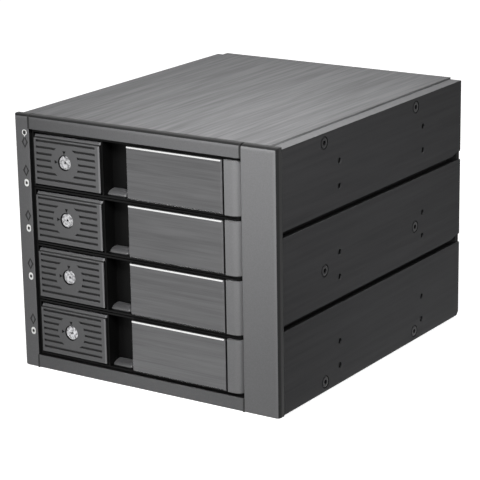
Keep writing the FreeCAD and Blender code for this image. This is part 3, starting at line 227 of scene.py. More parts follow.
def brushed(name, base, pitch, along, metallic, roughness, specular, contrast, seats=None, painted_shading=(),
            cut=None):
    """Brushed and then dyed aluminium: fine scratches along one axis under a thin satin oxide.
    The lines break up highlights across the grain and leave them long along it.  Seats are the
    countersinks with a ring of painted shadow at their edge, as their middles, the ring's radius and half
    its width.  Painted shading is a list of regions, each with the colour of the painted light or shade
    laid there.  Cut is a region and the colour of its bare, bright, smooth metal."""
    material, tree, shader, place = start(name)
    across = 1 / pitch
    scale, broad_scale = [across] * 3, [across / BAND_WIDTH] * 3
    scale[along], broad_scale[along] = across / SCRATCH_RUN, across / BAND_RUN
    stretched = add(tree, "ShaderNodeMapping", {"Vector": place, "Scale": scale}).outputs["Vector"]
    fine = add(tree, "ShaderNodeTexNoise", {
        "Vector": stretched, "Scale": 1.0, "Detail": 3.0, "Roughness": 0.6}).outputs["Fac"]
    wide = add(tree, "ShaderNodeMapping", {"Vector": place, "Scale": broad_scale}).outputs["Vector"]
    broad = add(tree, "ShaderNodeTexNoise", {"Vector": wide, "Scale": 1.0, "Detail": 3.0}).outputs["Fac"]
    summed = add(tree, "ShaderNodeMath", {0: fine, 1: broad}, operation="ADD")
    level = add(tree, "ShaderNodeMapRange", {
        "Value": summed.outputs[0], "From Min": 0.75, "From Max": 1.25}).outputs[0]
    rough = add(tree, "ShaderNodeMapRange", {
        "Value": fine, "From Min": 0.3, "From Max": 0.7,
        "To Min": roughness - 0.08, "To Max": roughness + 0.08}).outputs[0]
    masks = []
    if seats is not None:
        masks.append((rings_round(tree, place, *seats), shade(base, SEAT_SHADE)))
    masks += [(region(tree, place, edges), over) for edges, over in painted_shading]
    if cut is None:
        shader.inputs["Metallic"].default_value = metallic
    else:
        bare = region(tree, place, cut[0])
        masks.append((bare, cut[1]))
        rough = add(tree, "ShaderNodeMapRange", {"Value": bare, "To Min": rough, "To Max": 0.25}).outputs[0]
        metal = add(tree, "ShaderNodeMapRange", {"Value": bare, "To Min": metallic, "To Max": 1.0})
        tree.links.new(metal.outputs[0], shader.inputs["Metallic"])
    skin = painted_over(tree, tone(tree, level, base, 1 - contrast, 1 + contrast), masks)
    tree.links.new(skin, shader.inputs["Base Color"])
    tree.links.new(rough, shader.inputs["Roughness"])
    bump = add(tree, "ShaderNodeBump", {"Height": fine, "Strength": 0.25, "Distance": SCRATCH_DEPTH})
    tree.links.new(bump.outputs["Normal"], shader.inputs["Normal"])
    shader.inputs["Specular IOR Level"].default_value = specular
    return material


def blasted(name, base, grit, metallic, roughness, specular, painted_shading=()):
    """Bead-blasted and dyed aluminium: an even satin with fine sparkle from small round pits.  Painted
    shading is a list of regions, each with the colour of the painted light or shade laid there."""
    material, tree, shader, place = start(name)
    pits = add(tree, "ShaderNodeTexNoise", {
        "Vector": place, "Scale": 1 / grit, "Detail": 3.0, "Roughness": 0.6}).outputs["Fac"]
    level = add(tree, "ShaderNodeMapRange", {"Value": pits, "From Min": 0.3, "From Max": 0.7}).outputs[0]
    masks = [(region(tree, place, edges), over) for edges, over in painted_shading]
    skin = painted_over(tree, tone(tree, level, base, 0.9, 1.1), masks)
    tree.links.new(skin, shader.inputs["Base Color"])
    bump = add(tree, "ShaderNodeBump", {"Height": pits, "Strength": 0.3, "Distance": grit / 8})
    tree.links.new(bump.outputs["Normal"], shader.inputs["Normal"])
    shader.inputs["Metallic"].default_value = metallic
    shader.inputs["Roughness"].default_value = roughness
    shader.inputs["Specular IOR Level"].default_value = specular
    return material


def grained(name, base, grain, roughness, specular=0.5, painted_shading=()):
    """Plastic moulded in a spark-eroded tool, or powder baked on steel: a fine even grain that softens
    the shine.  Painted shading is a list of regions, each with the colour of the painted light or shade
    laid there."""
    material, tree, shader, place = start(name)
    cells = add(tree, "ShaderNodeTexNoise", {
        "Vector": place, "Scale": 1 / grain, "Detail": 4.0, "Roughness": 0.65}).outputs["Fac"]
    masks = [(region(tree, place, edges), over) for edges, over in painted_shading]
    skin = painted_over(tree, tone(tree, cells, base, 0.85, 1.15), masks)
    tree.links.new(skin, shader.inputs["Base Color"])
    bump = add(tree, "ShaderNodeBump", {"Height": cells, "Strength": 0.35, "Distance": grain / 10})
    tree.links.new(bump.outputs["Normal"], shader.inputs["Normal"])
    shader.inputs["Roughness"].default_value = roughness
    shader.inputs["IOR"].default_value = PLASTIC_IOR
    shader.inputs["Specular IOR Level"].default_value = specular
    return material


def plated(name, base, roughness, cloud=0.02, spread=6 * MM, dull=0.9):
    """Plated, oxidised or drawn metal: a bright skin with a cloudiness of a given spread, in which its
    colour falls to the share dull and its roughness grows by cloud."""
    material, tree, shader, place = start(name)
    clouds = add(tree, "ShaderNodeTexNoise", {
        "Vector": place, "Scale": 1 / spread, "Detail": 5.0}).outputs["Fac"]
    level = add(tree, "ShaderNodeMapRange", {"Value": clouds, "From Min": 0.35, "From Max": 0.65}).outputs[0]
    tree.links.new(tone(tree, level, base, dull, 1.06), shader.inputs["Base Color"])
    rough = add(tree, "ShaderNodeMapRange", {
        "Value": clouds, "From Min": 0.3, "From Max": 0.7,
        "To Min": roughness, "To Max": roughness + cloud}).outputs[0]
    tree.links.new(rough, shader.inputs["Roughness"])
    shader.inputs["Metallic"].default_value = 1.0
    return material


def solder_mask(name, base):
    """Glass-epoxy board under solder mask: copper tracks show as slightly paler lines in rows."""
    material, tree, shader, place = start(name)
    turned = add(tree, "ShaderNodeMapping", {
        "Vector": place, "Rotation": (math.pi / 2, 0, 0)}).outputs["Vector"]
    tracks = add(tree, "ShaderNodeTexBrick", {
        "Vector": turned, "Scale": 1 / TRACK_TILE, "Mortar Size": 0.03, "Brick Width": 0.9,
        "Row Height": 0.16, "Color1": (*base, 1), "Color2": (*shade(base, 0.85), 1),
        "Mortar": (*shade(base, 2.2), 1)})
    tree.links.new(tracks.outputs["Color"], shader.inputs["Base Color"])
    shader.inputs["Roughness"].default_value = 0.3
    return material


def printed(name, base):
    """Screen-printed ink: a thin flat film, a little uneven in tone where the screen let less through."""
    material, tree, shader, place = start(name)
    film = add(tree, "ShaderNodeTexNoise", {"Vector": place, "Scale": 1 / INK_GRAIN, "Detail": 2.0})
    tree.links.new(tone(tree, film.outputs["Fac"], base, 0.9, 1.05), shader.inputs["Base Color"])
    shader.inputs["Roughness"].default_value = 0.55
    return material


# ---------------------------------------------------------------- reading the frame

def dress(nodes, material):
    """Give CAD nodes one material in all their slots."""
    for name in nodes:
        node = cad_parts[name]
        if not node.material_slots:
            node.data.materials.append(material)
        for slot in node.material_slots:
            slot.material = material


def each(stem):
    """The four trays' names for one piece."""
    return ["%s_%d" % (stem, number) for number in TRAYS]


def frame_points(node, middle=None, spread=None):
    """The points of a node's mesh, or only those within the spread of a middle."""
    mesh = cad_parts[node].data
    places = np.empty(len(mesh.vertices) * 3)
    mesh.vertices.foreach_get("co", places)
    places = places.reshape(-1, 3)
    return places if middle is None else places[np.all(np.abs(places - middle) < spread, axis=1)]


def middles(node, spread):
    """The middles of a node's separate pieces, each smaller than the spread: the points within the
    spread of the first one left are one piece."""
    places = frame_points(node)
    found = []
    while len(places):
        near = np.all(np.abs(places - places[0]) < spread, axis=1)
        found.append((places[near].min(axis=0) + places[near].max(axis=0)) / 2)
        places = places[~near]
    return np.array(found)


# ---------------------------------------------------------------- surfaces

def upright(across, depth, height):
    """Points from places across, in depth and in height, each repeated to the shape of all three."""
    return np.stack(np.broadcast_arrays(across, depth, height), axis=-1)


def spots(across, up):
    """Pairs of a place across and one up, each repeated to the shape of both."""
    return np.stack(np.broadcast_arrays(across, up), axis=-1).reshape(-1, 2)


def grid_piece(name, points, closed, material, body="chassis"):
    """One mesh from grids of points (copies, rows, columns, 3) that rides a body; closed says whether
    the last row and the last column join the first.  A face points along its row's direction crossed
    with its column's.  Points that coincide at poles and seams are merged, and the faces of what is
    then a closed skin are turned outwards."""
    points = np.asarray(points)
    if points.ndim == 3:
        points = points[None]
    copies, rows, columns = points.shape[:3]
    row = np.arange(rows if closed[0] else rows - 1)
    column = np.arange(columns if closed[1] else columns - 1)
    first, a, b = np.meshgrid(np.arange(copies) * rows * columns, row, column, indexing="ij")
    next_a, next_b = (a + 1) % rows, (b + 1) % columns
    faces = np.stack([first + a * columns + b, first + next_a * columns + b,
                      first + next_a * columns + next_b, first + a * columns + next_b], axis=-1)
    mesh = bpy.data.meshes.new(name)
    mesh.from_pydata(points.reshape(-1, 3).tolist(), [], faces.reshape(-1, 4).tolist())
    made = bmesh.new()
    made.from_mesh(mesh)
    bmesh.ops.remove_doubles(made, verts=made.verts, dist=1e-7)
    if not any(edge.is_boundary for edge in made.edges):
        bmesh.ops.recalc_face_normals(made, faces=made.faces)
    made.to_mesh(mesh)
    made.free()
    mesh.materials.append(material)
    piece = bpy.data.objects.new(name, mesh)
    bpy.context.collection.objects.link(piece)
    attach(piece, body)
    return piece


def revolved(profile, count=48, sides=6, turn=0.0):
    """Points (stations, count, 3) of radius, radius and depth about an axis.  Each station of the
    profile gives a radius, a depth and a share from 0 to 1 that bends its circle towards a polygon:
    the polygon's reach at an angle is the cosine of half a side over the cosine of the angle from
    the middle of its side.  Turn is the angle of its first corner."""
    profile = np.array(profile)
    angle = np.linspace(0, 2 * np.pi, count, endpoint=False)
    side = 2 * np.pi / sides
    reach = np.cos(side / 2) / np.cos((angle - turn) % side - side / 2)
    radius = profile[:, :1] * (1 + profile[:, 2:3] * (reach - 1))
    depth = np.broadcast_to(profile[:, 1:2], radius.shape)
    return np.stack([radius * np.cos(angle), radius * np.sin(angle), depth], axis=-1) * MM


def rounded_loop(width, height, corner, count=40):
    """Points round a rectangle with rounded corners: each angle's point is pushed out from the inner
    rectangle's corner by the corner radius."""
    angle = np.linspace(0, 2 * np.pi, count, endpoint=False) + np.pi / count
    x = np.sign(np.cos(angle)) * (width / 2 - corner) + corner * np.cos(angle)
    z = np.sign(np.sin(angle)) * (height / 2 - corner) + corner * np.sin(angle)
    return np.stack([x, z], axis=-1)


def lofted(stations, count=48):
    """Points (stations, count, 3) of across, up and depth: each station is an outline of a width, a
    height and a corner radius at a depth, and one of no size is the point that closes an end."""
    rows = [np.column_stack([rounded_loop(width, height, corner, count), np.full(count, depth)])
            for width, height, corner, depth in stations]
    return np.array(rows) * MM


def set_in(points, middle, face, back=1):
    """Copies of points of across, up and depth, set upright at each middle (across, up) with their
    depth counted backwards from the face, or forwards where back is -1."""
    middle = np.asarray(middle).reshape(-1, 1, 1, 2)
    return upright(middle[..., 0] + points[..., 0], face + back * points[..., 2],
                   middle[..., 1] + points[..., 1])


def flat_band(loop, line, middle, depth):
    """A flat band that faces the front: the outline loop drawn in by the line's width, and then the
    loop at full size, round a middle."""
    inner = loop * (1 - 2 * line / np.ptp(loop, axis=0))
    flat = np.stack([inner, loop])
    return upright(middle[0] + flat[..., 0], depth, middle[1] + flat[..., 1])


def tube(path, across, over, around=12):
    """A round wire along a path: at each point a circle is laid in the plane of two given directions,
    whose lengths are the wire's two radii."""
    angle = np.linspace(0, 2 * np.pi, around, endpoint=False)
    return (path[..., None, :] + np.cos(angle)[:, None] * across[..., None, :]
            + np.sin(angle)[:, None] * over[..., None, :])


def wire_ring(radius, middle, depth, wire, count=96):
    """A wire bent to a ring that stands upright and faces the back: a circle about a middle, with a
    smaller circle of the wire's radius round each of its points, outwards and backwards."""
    angle = np.linspace(0, 2 * np.pi, count, endpoint=False)
    out = np.stack([np.cos(angle), np.zeros(count), np.sin(angle)], axis=-1)
    path = out * radius + np.array([middle[0], depth, middle[1]])
    back = np.broadcast_to(np.array([0.0, wire, 0.0]), out.shape)
    return tube(path, out * wire, back)


def wire_arm(begin, end, middle, away, depth, wire):
    """A straight wire that stands off a middle in the direction away, from one distance to another,
    with both of its ends drawn to a point."""
    steps = np.linspace(begin, end, 24)
    path = np.array([middle[0], depth, middle[1]]) + away * steps[:, None]
    side = np.broadcast_to(np.cross(away, (0, 1, 0)) * wire, path.shape)
    rod = tube(path, side, np.broadcast_to(np.array([0.0, wire, 0.0]), path.shape))
    first, last = (np.broadcast_to(path[k], rod[:1].shape) for k in (0, -1))
    return np.concatenate([first, rod, last])


# ---------------------------------------------------------------- bezel

FLANK_START = 0.45 * MM    # where the flanks of the bars begin, behind their front faces
SEAM_SHIFT = 0.125 * MM    # from a post's edge to the middle of the gap beside it


class CAGE_OT_bezel(bpy.types.Operator):
    """Give the bezel bars their bead-blasted, dyed finish with painted light and shade, and lay strips of
    painted shadow in the seams between them
    """
    bl_idname = "cage.bezel"
    bl_label = "Bezel"

    def execute(self, context):
        sizes, colours = context.scene.cage_sizes, context.scene.cage_colours
        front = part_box("top_rail")[0][1]
        # Bead-blasted aluminium dyed black, painted grey as painted light that stands in for the lamp's
        # reflection on the fronts: a soft even skin that shades off slowly from the lamp.  The rails are
        # painted a little darker than the posts, and the tops and flanks behind the front faces painted dark,
        # both as painted shade.  The dyed oxide hides most of the metal, so little of it is metallic.
        for bars, name, base in ((("left_post", "right_post"), "blasted_anodised_posts", colours.bezel),
                                 (("top_rail", "bottom_rail"), "blasted_anodised_rails", colours.rail)):
            flanks = [([("Y", OVER, front + FLANK_START)], shade(base, FLANK_SHADE))]
            dress(bars, blasted(name, base, sizes.blast_grit, metallic=0.1, roughness=0.5, specular=0.2,
                                painted_shading=flanks))
        # Smoked polycarbonate, moulded: the unlit lamps look like dull grey glass.
        dress(["light_pipes"], grained("moulded_smoked_polycarbonate", linear("#5c5c5e"),
                                       sizes.mould_grain, roughness=0.3, specular=0.3))
        seams = []
        for post, side in (("left_post", 1), ("right_post", -1)):
            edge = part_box(post)[side > 0][0] + side * SEAM_SHIFT
            across = edge + np.array([[-0.5], [0.5]]) * sizes.seam_line
            for rail in ("top_rail", "bottom_rail"):
                low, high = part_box(rail)
                seams.append(upright(across, front - sizes.ink_lift / 2, np.linspace(low[2], high[2], 5)))
        # A black strip of painted shadow: no light comes back out of the gap.
        grid_piece("bezel_gap_shadows", seams, (False, False), printed("black_painted_gap_shadow", linear("#050505")))
        return {"FINISHED"}


# ---------------------------------------------------------------- body

# A flat head as radius, depth and share of the six-sided socket, in millimetres: the socket's floor
# and wall, its lip, the flat top, the rounded rim, and the cone down to the shank.
FLAT_HEAD = [(0, 0.9, 1), (1.15, 0.9, 1), (1.2, 0.12, 1), (1.35, 0.0, 0.6), (1.6, 0.0, 0),
             (2.15, 0.02, 0), (2.38, 0.09, 0), (2.48, 0.22, 0), (2.5, 0.43, 0), (1.46, 1.19, 0), (0, 1.19, 0)]
HEAD_SPREAD = 8 * MM       # more than a head, less than the way to the next one
SEAT_RADIUS, SEAT_HALF = 2.85 * MM, 0.32 * MM
FOLD_DEPTH = 0.5 * MM      # how far behind a side's face its folds begin
FLANGE_DROP = 1.1 * MM     # how far under the top a side's upper flange ends


class CAGE_OT_body(bpy.types.Operator):
    """Give the body sheets their brushed, dyed finish and turn the heads of the side screws"""
    bl_idname = "cage.body"
    bl_label = "Body"

    def execute(self, context):
        sizes, colours = context.scene.cage_sizes, context.scene.cage_colours
        # Painted shade: the folds nearer the middle than the sides' faces are painted dark.  Painted light:
        # the flange on top is painted as light as the cover beside it.
        inside = CAD_BOX[1][0] - FOLD_DEPTH
        folds = [([("X", UNDER, inside), ("X", OVER, -inside)], shade(colours.side, FOLD_SHADE)),
                 ([("Z", OVER, CAD_BOX[1][2] - FLANGE_DROP)], colours.cover)]
        # Brushed aluminium dyed nearly black: faint long streaks, and no glare when the light is low.
        dress(["side_panel_left", "side_panel_right"],
              brushed("brushed_anodised_sides", colours.side, sizes.brush_pitch, along=1, metallic=0.1,
                      roughness=0.7, specular=0.1, contrast=0.18,
                      # Painted shadow: a dark ring round each screw head, at the countersink's edge.
                      seats=(middles("side_screws_right", HEAD_SPREAD), SEAT_RADIUS, SEAT_HALF),
                      painted_shading=folds))
        # Brushed aluminium dyed black like the sides, painted mid grey as painted light from the lamp above:
        # clear streaks from front to back, lighter where the lamp falls on them.
        dress(["top_cover", "bottom_cover"],
              brushed("brushed_anodised_covers", colours.cover, sizes.brush_pitch, along=1, metallic=0.1,
                      roughness=0.75, specular=0.1, contrast=0.24))
        # Powder coat on steel: a dull, even black that lets the bezel stand out before it.
        dress(["front_frame"], grained("black_powder_coated_steel", linear("#0c0c0d"),
                                       sizes.mould_grain, roughness=0.55, specular=0.12))
        # Powder coat on steel, black like the front frame's, painted a softer charcoal as painted light where
        # the lamps barely reach the back, so that the fan and the sockets show darker on it.
        dress(["rear_panel"], grained("powder_coated_steel_painted_lighter", linear("#2a2a2b"),
                                      sizes.mould_grain, roughness=0.5, specular=0.3))
        # Black oxide on steel: dark heads with a dull gleam at the rim and the socket's lip.
        oxide = plated("black_oxide_steel", linear("#262627"), roughness=0.4)
        head = revolved(FLAT_HEAD)
        for side, node in ((-1, "side_screws_left"), (1, "side_screws_right")):
            places = middles(node, HEAD_SPREAD)[:, None, None, :]
            points = upright(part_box(node)[side > 0][0] - side * head[..., 2],
                             places[..., 1] + head[..., 0], places[..., 2] + head[..., 1])
            piece = grid_piece(node.replace("screws", "screw_heads"), points, (False, True), oxide)
            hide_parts(node)
        return {"FINISHED"}


# ---------------------------------------------------------------- trays

BUTTON_RIGHT = -23.45 * MM            # the right edge of a button's face
GROOVE_START = 0.2 * MM               # where a button's grooves begin, behind its face
GROOVE_TOP = 1.9 * MM                 # how far under a button's top its grooves begin
EDGE_HIGHLIGHT_LINE = 0.9 * MM                # the width of a button's painted edge highlight
BARREL_START = 0.9 * MM               # from a plate's right edge to its lever's barrel
CUT_END = 0.6 * MM                    # how far left of a plate's right edge its cut edge ends
RAMP_RUN, RAMP_RISE = 5.2 * MM, 2.2 * MM
RAMP_LEFT, RAMP_RIGHT = 1.3 * MM, 3.4 * MM    # the gaps to the button and to the plate's left edge
RAMP_FRONT, RAMP_FLOOR = 2.0 * MM, 1.0 * MM   # behind the tray's front, and above its foot


def ramp_points(left, right, front, floor):
    """A quarter of an ellipse in depth and height with a flat back and underside, swept from left to
    right.  Towards both ends its outline is drawn in to its foot, by the twentieth power of the
    distance from the middle, and closed to a point."""
    turn = np.linspace(0, np.pi / 2, 14)
    run = np.column_stack([front + RAMP_RUN * (1 - np.cos(turn)), floor + RAMP_RISE * np.sin(turn)])
    outline = np.concatenate([run, [[run[-1, 0], floor]]])
    share = np.concatenate([[0], np.linspace(0, 1, 32), [1]])
    size = 1 - 0.4 * np.abs(2 * share - 1) ** 20
    size[[0, -1]] = 0.0
    foot = np.array([outline[:, 0].mean(), floor])
    rings = foot + (outline - foot) * size[:, None, None]
    return upright((left + (right - left) * share)[:, None], rings[..., 0], rings[..., 1])


class CAGE_OT_trays(bpy.types.Operator):
    """Finish the trays: moulded fronts, ramps and buttons, levers and plates, plated carriers"""
    bl_idname = "cage.trays"
    bl_label = "Trays"

    def execute(self, context):
        sizes, colours = context.scene.cage_sizes, context.scene.cage_colours
        # ABS moulded in black: the recesses stay the darkest part of the front.
        dress(each("tray_front"), grained("moulded_black_abs", colours.tray, sizes.mould_grain,
                                          roughness=0.5, specular=0.12))
        # Nylon moulded in black: a waxy dark wall that the runners slide on.
        dress(["guide_left", "guide_right"], grained("moulded_black_nylon", linear("#0a0a0b"),
                                                     sizes.mould_grain, roughness=0.5, specular=0.15))
        # Zinc on folded steel: bright, with the faint clouds of the plating bath.
        dress(each("drive_carrier"), plated("zinc_plated_steel", linear("#c3c5c9"), roughness=0.32, cloud=0.1))
        # Drawn steel: a clean bright pin.
        dress(each("hinge_pin"), plated("drawn_steel", linear("#c8c8ca"), roughness=0.3))
        low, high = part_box("lever_plate_1")
        # Bead-blasted and dyed aluminium: the barrels catch one soft upright light, and the metal under the
        # plates, lost in their shade, is painted nearly black as painted shade.
        dress(each("lever"), blasted(
            "blasted_anodised_levers", colours.lever, sizes.blast_grit, metallic=0.1, roughness=0.36,
            specular=0.4, painted_shading=[([("X", UNDER, high[0] + BARREL_START)], shade(colours.lever, UNDER_SHADE))]))
        # Brushed aluminium under a clear grey dye, then diamond-cut round its edge: fine lines across
        # the face, and a bright mirror line along the top.
        edges = [("Y", OVER, low[1] + sizes.cut_depth), ("X", UNDER, high[0] - CUT_END)]
        dress(each("lever_plate"), brushed(
            "brushed_anodised_plates", colours.plate, sizes.brush_pitch, along=0, metallic=0.85,
            roughness=0.42, specular=0.5, contrast=0.14, cut=(edges, colours.cut)))
        # ABS moulded in dark grey: a satin face whose groove floors are painted black as painted shade, and
        # whose right edge is painted paler as a painted highlight.
        edge_highlight = ([("X", OVER, BUTTON_RIGHT - EDGE_HIGHLIGHT_LINE)], shade(colours.button, EDGE_HIGHLIGHT_SHARE))
        # The ramp is the tray's black ABS, painted mid grey as painted light: it shows as a soft light step in
        # the dark recess.
        ramp = grained("moulded_ramp_abs", linear("#454546"), sizes.mould_grain, roughness=0.35)
        for number, button, front in zip(TRAYS, each("latch_button"), each("tray_front")):
            face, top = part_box(button)[0][1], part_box(button)[1][2]
            grooves = ([("Y", OVER, face + GROOVE_START), ("Z", UNDER, top - GROOVE_TOP)],
                       shade(colours.button, GROOVE_SHADE))
            dress([button], grained("moulded_grey_abs_%d" % number, colours.button, sizes.mould_grain,
                                    roughness=0.42, specular=0.3, painted_shading=[edge_highlight, grooves]))
            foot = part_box(front)[0]
            points = ramp_points(BUTTON_RIGHT + RAMP_LEFT, low[0] - RAMP_RIGHT, foot[1] + RAMP_FRONT,
                                 foot[2] + RAMP_FLOOR)
            grid_piece("finger_ramp_%d" % number, points, (False, True), ramp, "tray_%d" % number)
        return {"FINISHED"}


# ---------------------------------------------------------------- locks

# A lock's face as radius, depth and share of the three-sided key hole, in millimetres: the hole's
# floor and wall, the flat disc, a turned ring groove, the rounded rim, and the barrel's side.
LOCK_FACE = [(0, 3.6, 1), (0.8, 3.6, 1), (0.85, 0.12, 1), (1.0, 0.0, 0.7), (1.9, 0.0, 0), (2.55, 0.02, 0),
             (2.65, 0.16, 0), (2.8, 0.16, 0), (2.9, 0.0, 0), (3.2, 0.0, 0), (3.36, 0.07, 0), (3.42, 0.22, 0),
             (3.44, 0.6, 0), (3.44, 5.2, 0), (0, 5.2, 0)]
# The black ring of painted shadow in the button's bore round it, as radius and depth behind the
# button's face, with no share of a polygon.
LOCK_BORE_SHADOW = [(3.73, 0.0, 0), (3.62, 0.03, 0), (3.5, 0.5, 0), (3.47, 2.4, 0), (3.73, 2.4, 0)]
# The notch that points at twelve o'clock: half its width, the radius where it starts, and its depth.
NOTCH_HALF, NOTCH_START, NOTCH_DEPTH = 0.42 * MM, 2.86 * MM, 0.8 * MM
# The corners of the black pointer above a lock, how far it stands from the lock's middle, and how far
# before the button's face it is printed.
POINTER = np.array([(0.0, -1.0), (0.9, 0.8), (-0.9, 0.8)]) * MM
POINTER_REACH = 4.9 * MM
POINTER_LIFT = 0.02 * MM


class CAGE_OT_locks(bpy.types.Operator):
    """Turn the four chromed locks, their key holes and pointer notches, and the black rings of painted shadow
    in their bores
    """
    bl_idname = "cage.locks"
    bl_label = "Locks"

    def execute(self, context):
        sizes = context.scene.cage_sizes
        # Chrome on turned brass with a painted reflection: light and dark patches painted side by side in its
        # colour, as the room would show in it.
        chrome = plated("chromed_brass", linear("#d6d6d8"), roughness=0.2, cloud=0.15, spread=1.3 * MM,
                        dull=0.35)
        # Black for the printed pointers, and for a ring of painted shadow in the button's bore that sets the
        # bright lock off.
        black_ink_and_shadow = grained("black_pointer_ink_and_bore_shadow", linear("#050505"), sizes.mould_grain, roughness=0.5,
                        specular=0.1)
        face = revolved(LOCK_FACE, 96, 3, math.pi / 2)
        reach = np.hypot(face[..., 0], face[..., 1])
        notch = (np.abs(face[..., 0]) < NOTCH_HALF) & (face[..., 1] > 0) & (reach > NOTCH_START)
        face[..., 2] = np.where(notch, np.maximum(face[..., 2], NOTCH_DEPTH), face[..., 2])
        ring = revolved(LOCK_BORE_SHADOW, 96)
        # A triangle at twelve o'clock and the same turned a quarter to nine, each a fan of faces from
        # its middle.
        rims = np.array([POINTER + (0.0, POINTER_REACH), POINTER[:, ::-1] * (-1, 1) - (POINTER_REACH, 0.0)])
        hubs = np.broadcast_to(rims.mean(axis=1, keepdims=True), rims.shape)
        fans = np.stack([hubs, rims], axis=1)
        for number in TRAYS:
            node, button = "key_lock_%d" % number, "button_%d" % number
            low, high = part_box(node)
            middle = ((low[0] + high[0]) / 2, (low[2] + high[2]) / 2)
            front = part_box("latch_button_%d" % number)[0][1]
            lock = grid_piece("lock_face_%d" % number, set_in(face, middle, front + sizes.lock_sink),
                              (False, True), chrome, "lock_%d" % number)
            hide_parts(node)
            grid_piece("lock_liner_%d" % number, set_in(ring, middle, front), (True, True), black_ink_and_shadow, button)
            marks = upright(middle[0] + fans[..., 0], front - POINTER_LIFT, middle[1] + fans[..., 1])
            grid_piece("lock_pointers_%d" % number, marks, (False, True), black_ink_and_shadow, button)
        return {"FINISHED"}


# ---------------------------------------------------------------- fan

GUARD_RINGS = 6
EYE_RADIUS = 4.0 * MM      # the wire eyes that the fan's screws go through
FAN_SCREW_SPREAD = 10 * MM


class CAGE_OT_rear(bpy.types.Operator):
    """Finish the fan and its screws, and bend its wire guard"""
    bl_idname = "cage.rear"
    bl_label = "Fan and guard"

    def execute(self, context):
        sizes = context.scene.cage_sizes
        # Polyester filled with glass, moulded in black: a dry dark grey with a dull shine on the blades.
        dress(["fan_frame", "fan_rotor"], grained("moulded_glass_filled_pbt", linear("#272728"),
                                                  sizes.mould_grain, roughness=0.45))
        # Black oxide on steel: dark heads, a little paler than the fan.
        dress(["fan_screws"], plated("black_oxide_fan_screws", linear("#3a3a3c"), roughness=0.35))
        # Nickel on steel wire: each round wire carries a thin bright line.
        nickel = plated("nickel_plated_steel", linear("#b9b9bb"), roughness=0.22)
        low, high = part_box("fan_guard")
        depth, wire = (low[1] + high[1]) / 2, (high[1] - low[1]) / 2
        low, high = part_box("fan_rotor")
        middle, reach = ((low[0] + high[0]) / 2, (low[2] + high[2]) / 2), (high[0] - low[0]) / 2
        shares = np.arange(1, GUARD_RINGS + 1) / GUARD_RINGS
        rings = [wire_ring(reach * share, middle, depth, wire) for share in shares]
        guard = grid_piece("fan_guard_rings", rings, (True, True), nickel)
        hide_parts("fan_guard")
        corners = middles("fan_screws", FAN_SCREW_SPREAD)[:, [0, 2]]
        eyes = [wire_ring(EYE_RADIUS, corner, depth, wire) for corner in corners]
        grid_piece("fan_guard_eyes", eyes, (True, True), nickel)
        arms = []
        for corner in corners:
            away = np.array([corner[0] - middle[0], 0.0, corner[1] - middle[1]])
            far = np.linalg.norm(away)
            arms.append(wire_arm(reach / GUARD_RINGS, far - EYE_RADIUS, middle, away / far, depth, wire))
        grid_piece("fan_guard_arms", arms, (False, True), nickel)
        return {"FINISHED"}


# ---------------------------------------------------------------- boards and connectors

# Each of these is lofted from a width, a height, a corner radius and a depth in millimetres: a
# contact tongue, a contact strip of a drive socket, a contact rib of a tongue, and a chip.
TONGUE = [(0, 0, 0, 7.0), (1.2, 10.4, 0.2, 7.0), (1.2, 10.4, 0.2, 0.3), (0.9, 10.1, 0.2, 0.0), (0, 0, 0, 0.0)]
STRIP = [(0, 0, 0, 3.6), (0.7, 0.2, 0.08, 3.6), (0.7, 0.2, 0.08, 0.5), (0.5, 0.1, 0.04, 0.0), (0, 0, 0, 0.0)]
RIB = [(0, 0, 0, 6.2), (1.5, 0.6, 0.1, 6.2), (1.5, 0.6, 0.1, 0.4), (1.3, 0.5, 0.1, 0.0), (0, 0, 0, 0.0)]
CHIP = [(0, 0, 0, 1.4), (4.2, 5.0, 0.2, 1.4), (4.2, 5.0, 0.2, 0.25), (3.9, 4.7, 0.2, 0.0), (0, 0, 0, 0.0)]
# Each of these is revolved from a radius, a depth and no share of a polygon: a power pin and a board
# capacitor's can, with the groove under its top.
PIN = [(0, 7.6, 0), (1.05, 7.6, 0), (1.05, 0.7, 0), (0.9, 0.25, 0), (0.5, 0.0, 0), (0, 0.0, 0)]
CAN = [(0, 4.6, 0), (2.2, 4.6, 0), (2.2, 4.0, 0), (2.05, 3.85, 0), (2.2, 3.7, 0), (2.2, 0.35, 0),
       (2.0, 0.06, 0), (1.6, 0.0, 0), (0, 0.0, 0)]
CAN_TALL, CHIP_TALL = 4.6 * MM, 1.4 * MM
STRIP_MARGIN = 3.0 * MM    # from a drive socket's end to its first contact
STRIP_RISE = 2.55 * MM     # from a drive socket's foot to the floor of its slot
STRIP_SINK = 0.4 * MM      # the contacts' tips behind the socket's face
TONGUE_SINK = 1.0 * MM     # a tongue's tip behind the rim of its connector
RIB_SINK = 0.5 * MM        # a contact's tip behind the tongue's
PIN_SINK = 0.6 * MM        # a power pin's tip behind the rim of its connector
RIB_SPAN = 3.9 * MM        # from a tongue's middle to its last contact
PIN_PITCH = 5.08 * MM      # between the pins of a drive power connector
CAN_GAP = 3.0 * MM         # from a power connector's edge to the middle of a can
CAN_UP, CHIP_UP = -2.0 * MM, 4.0 * MM     # above the foot of a data connector


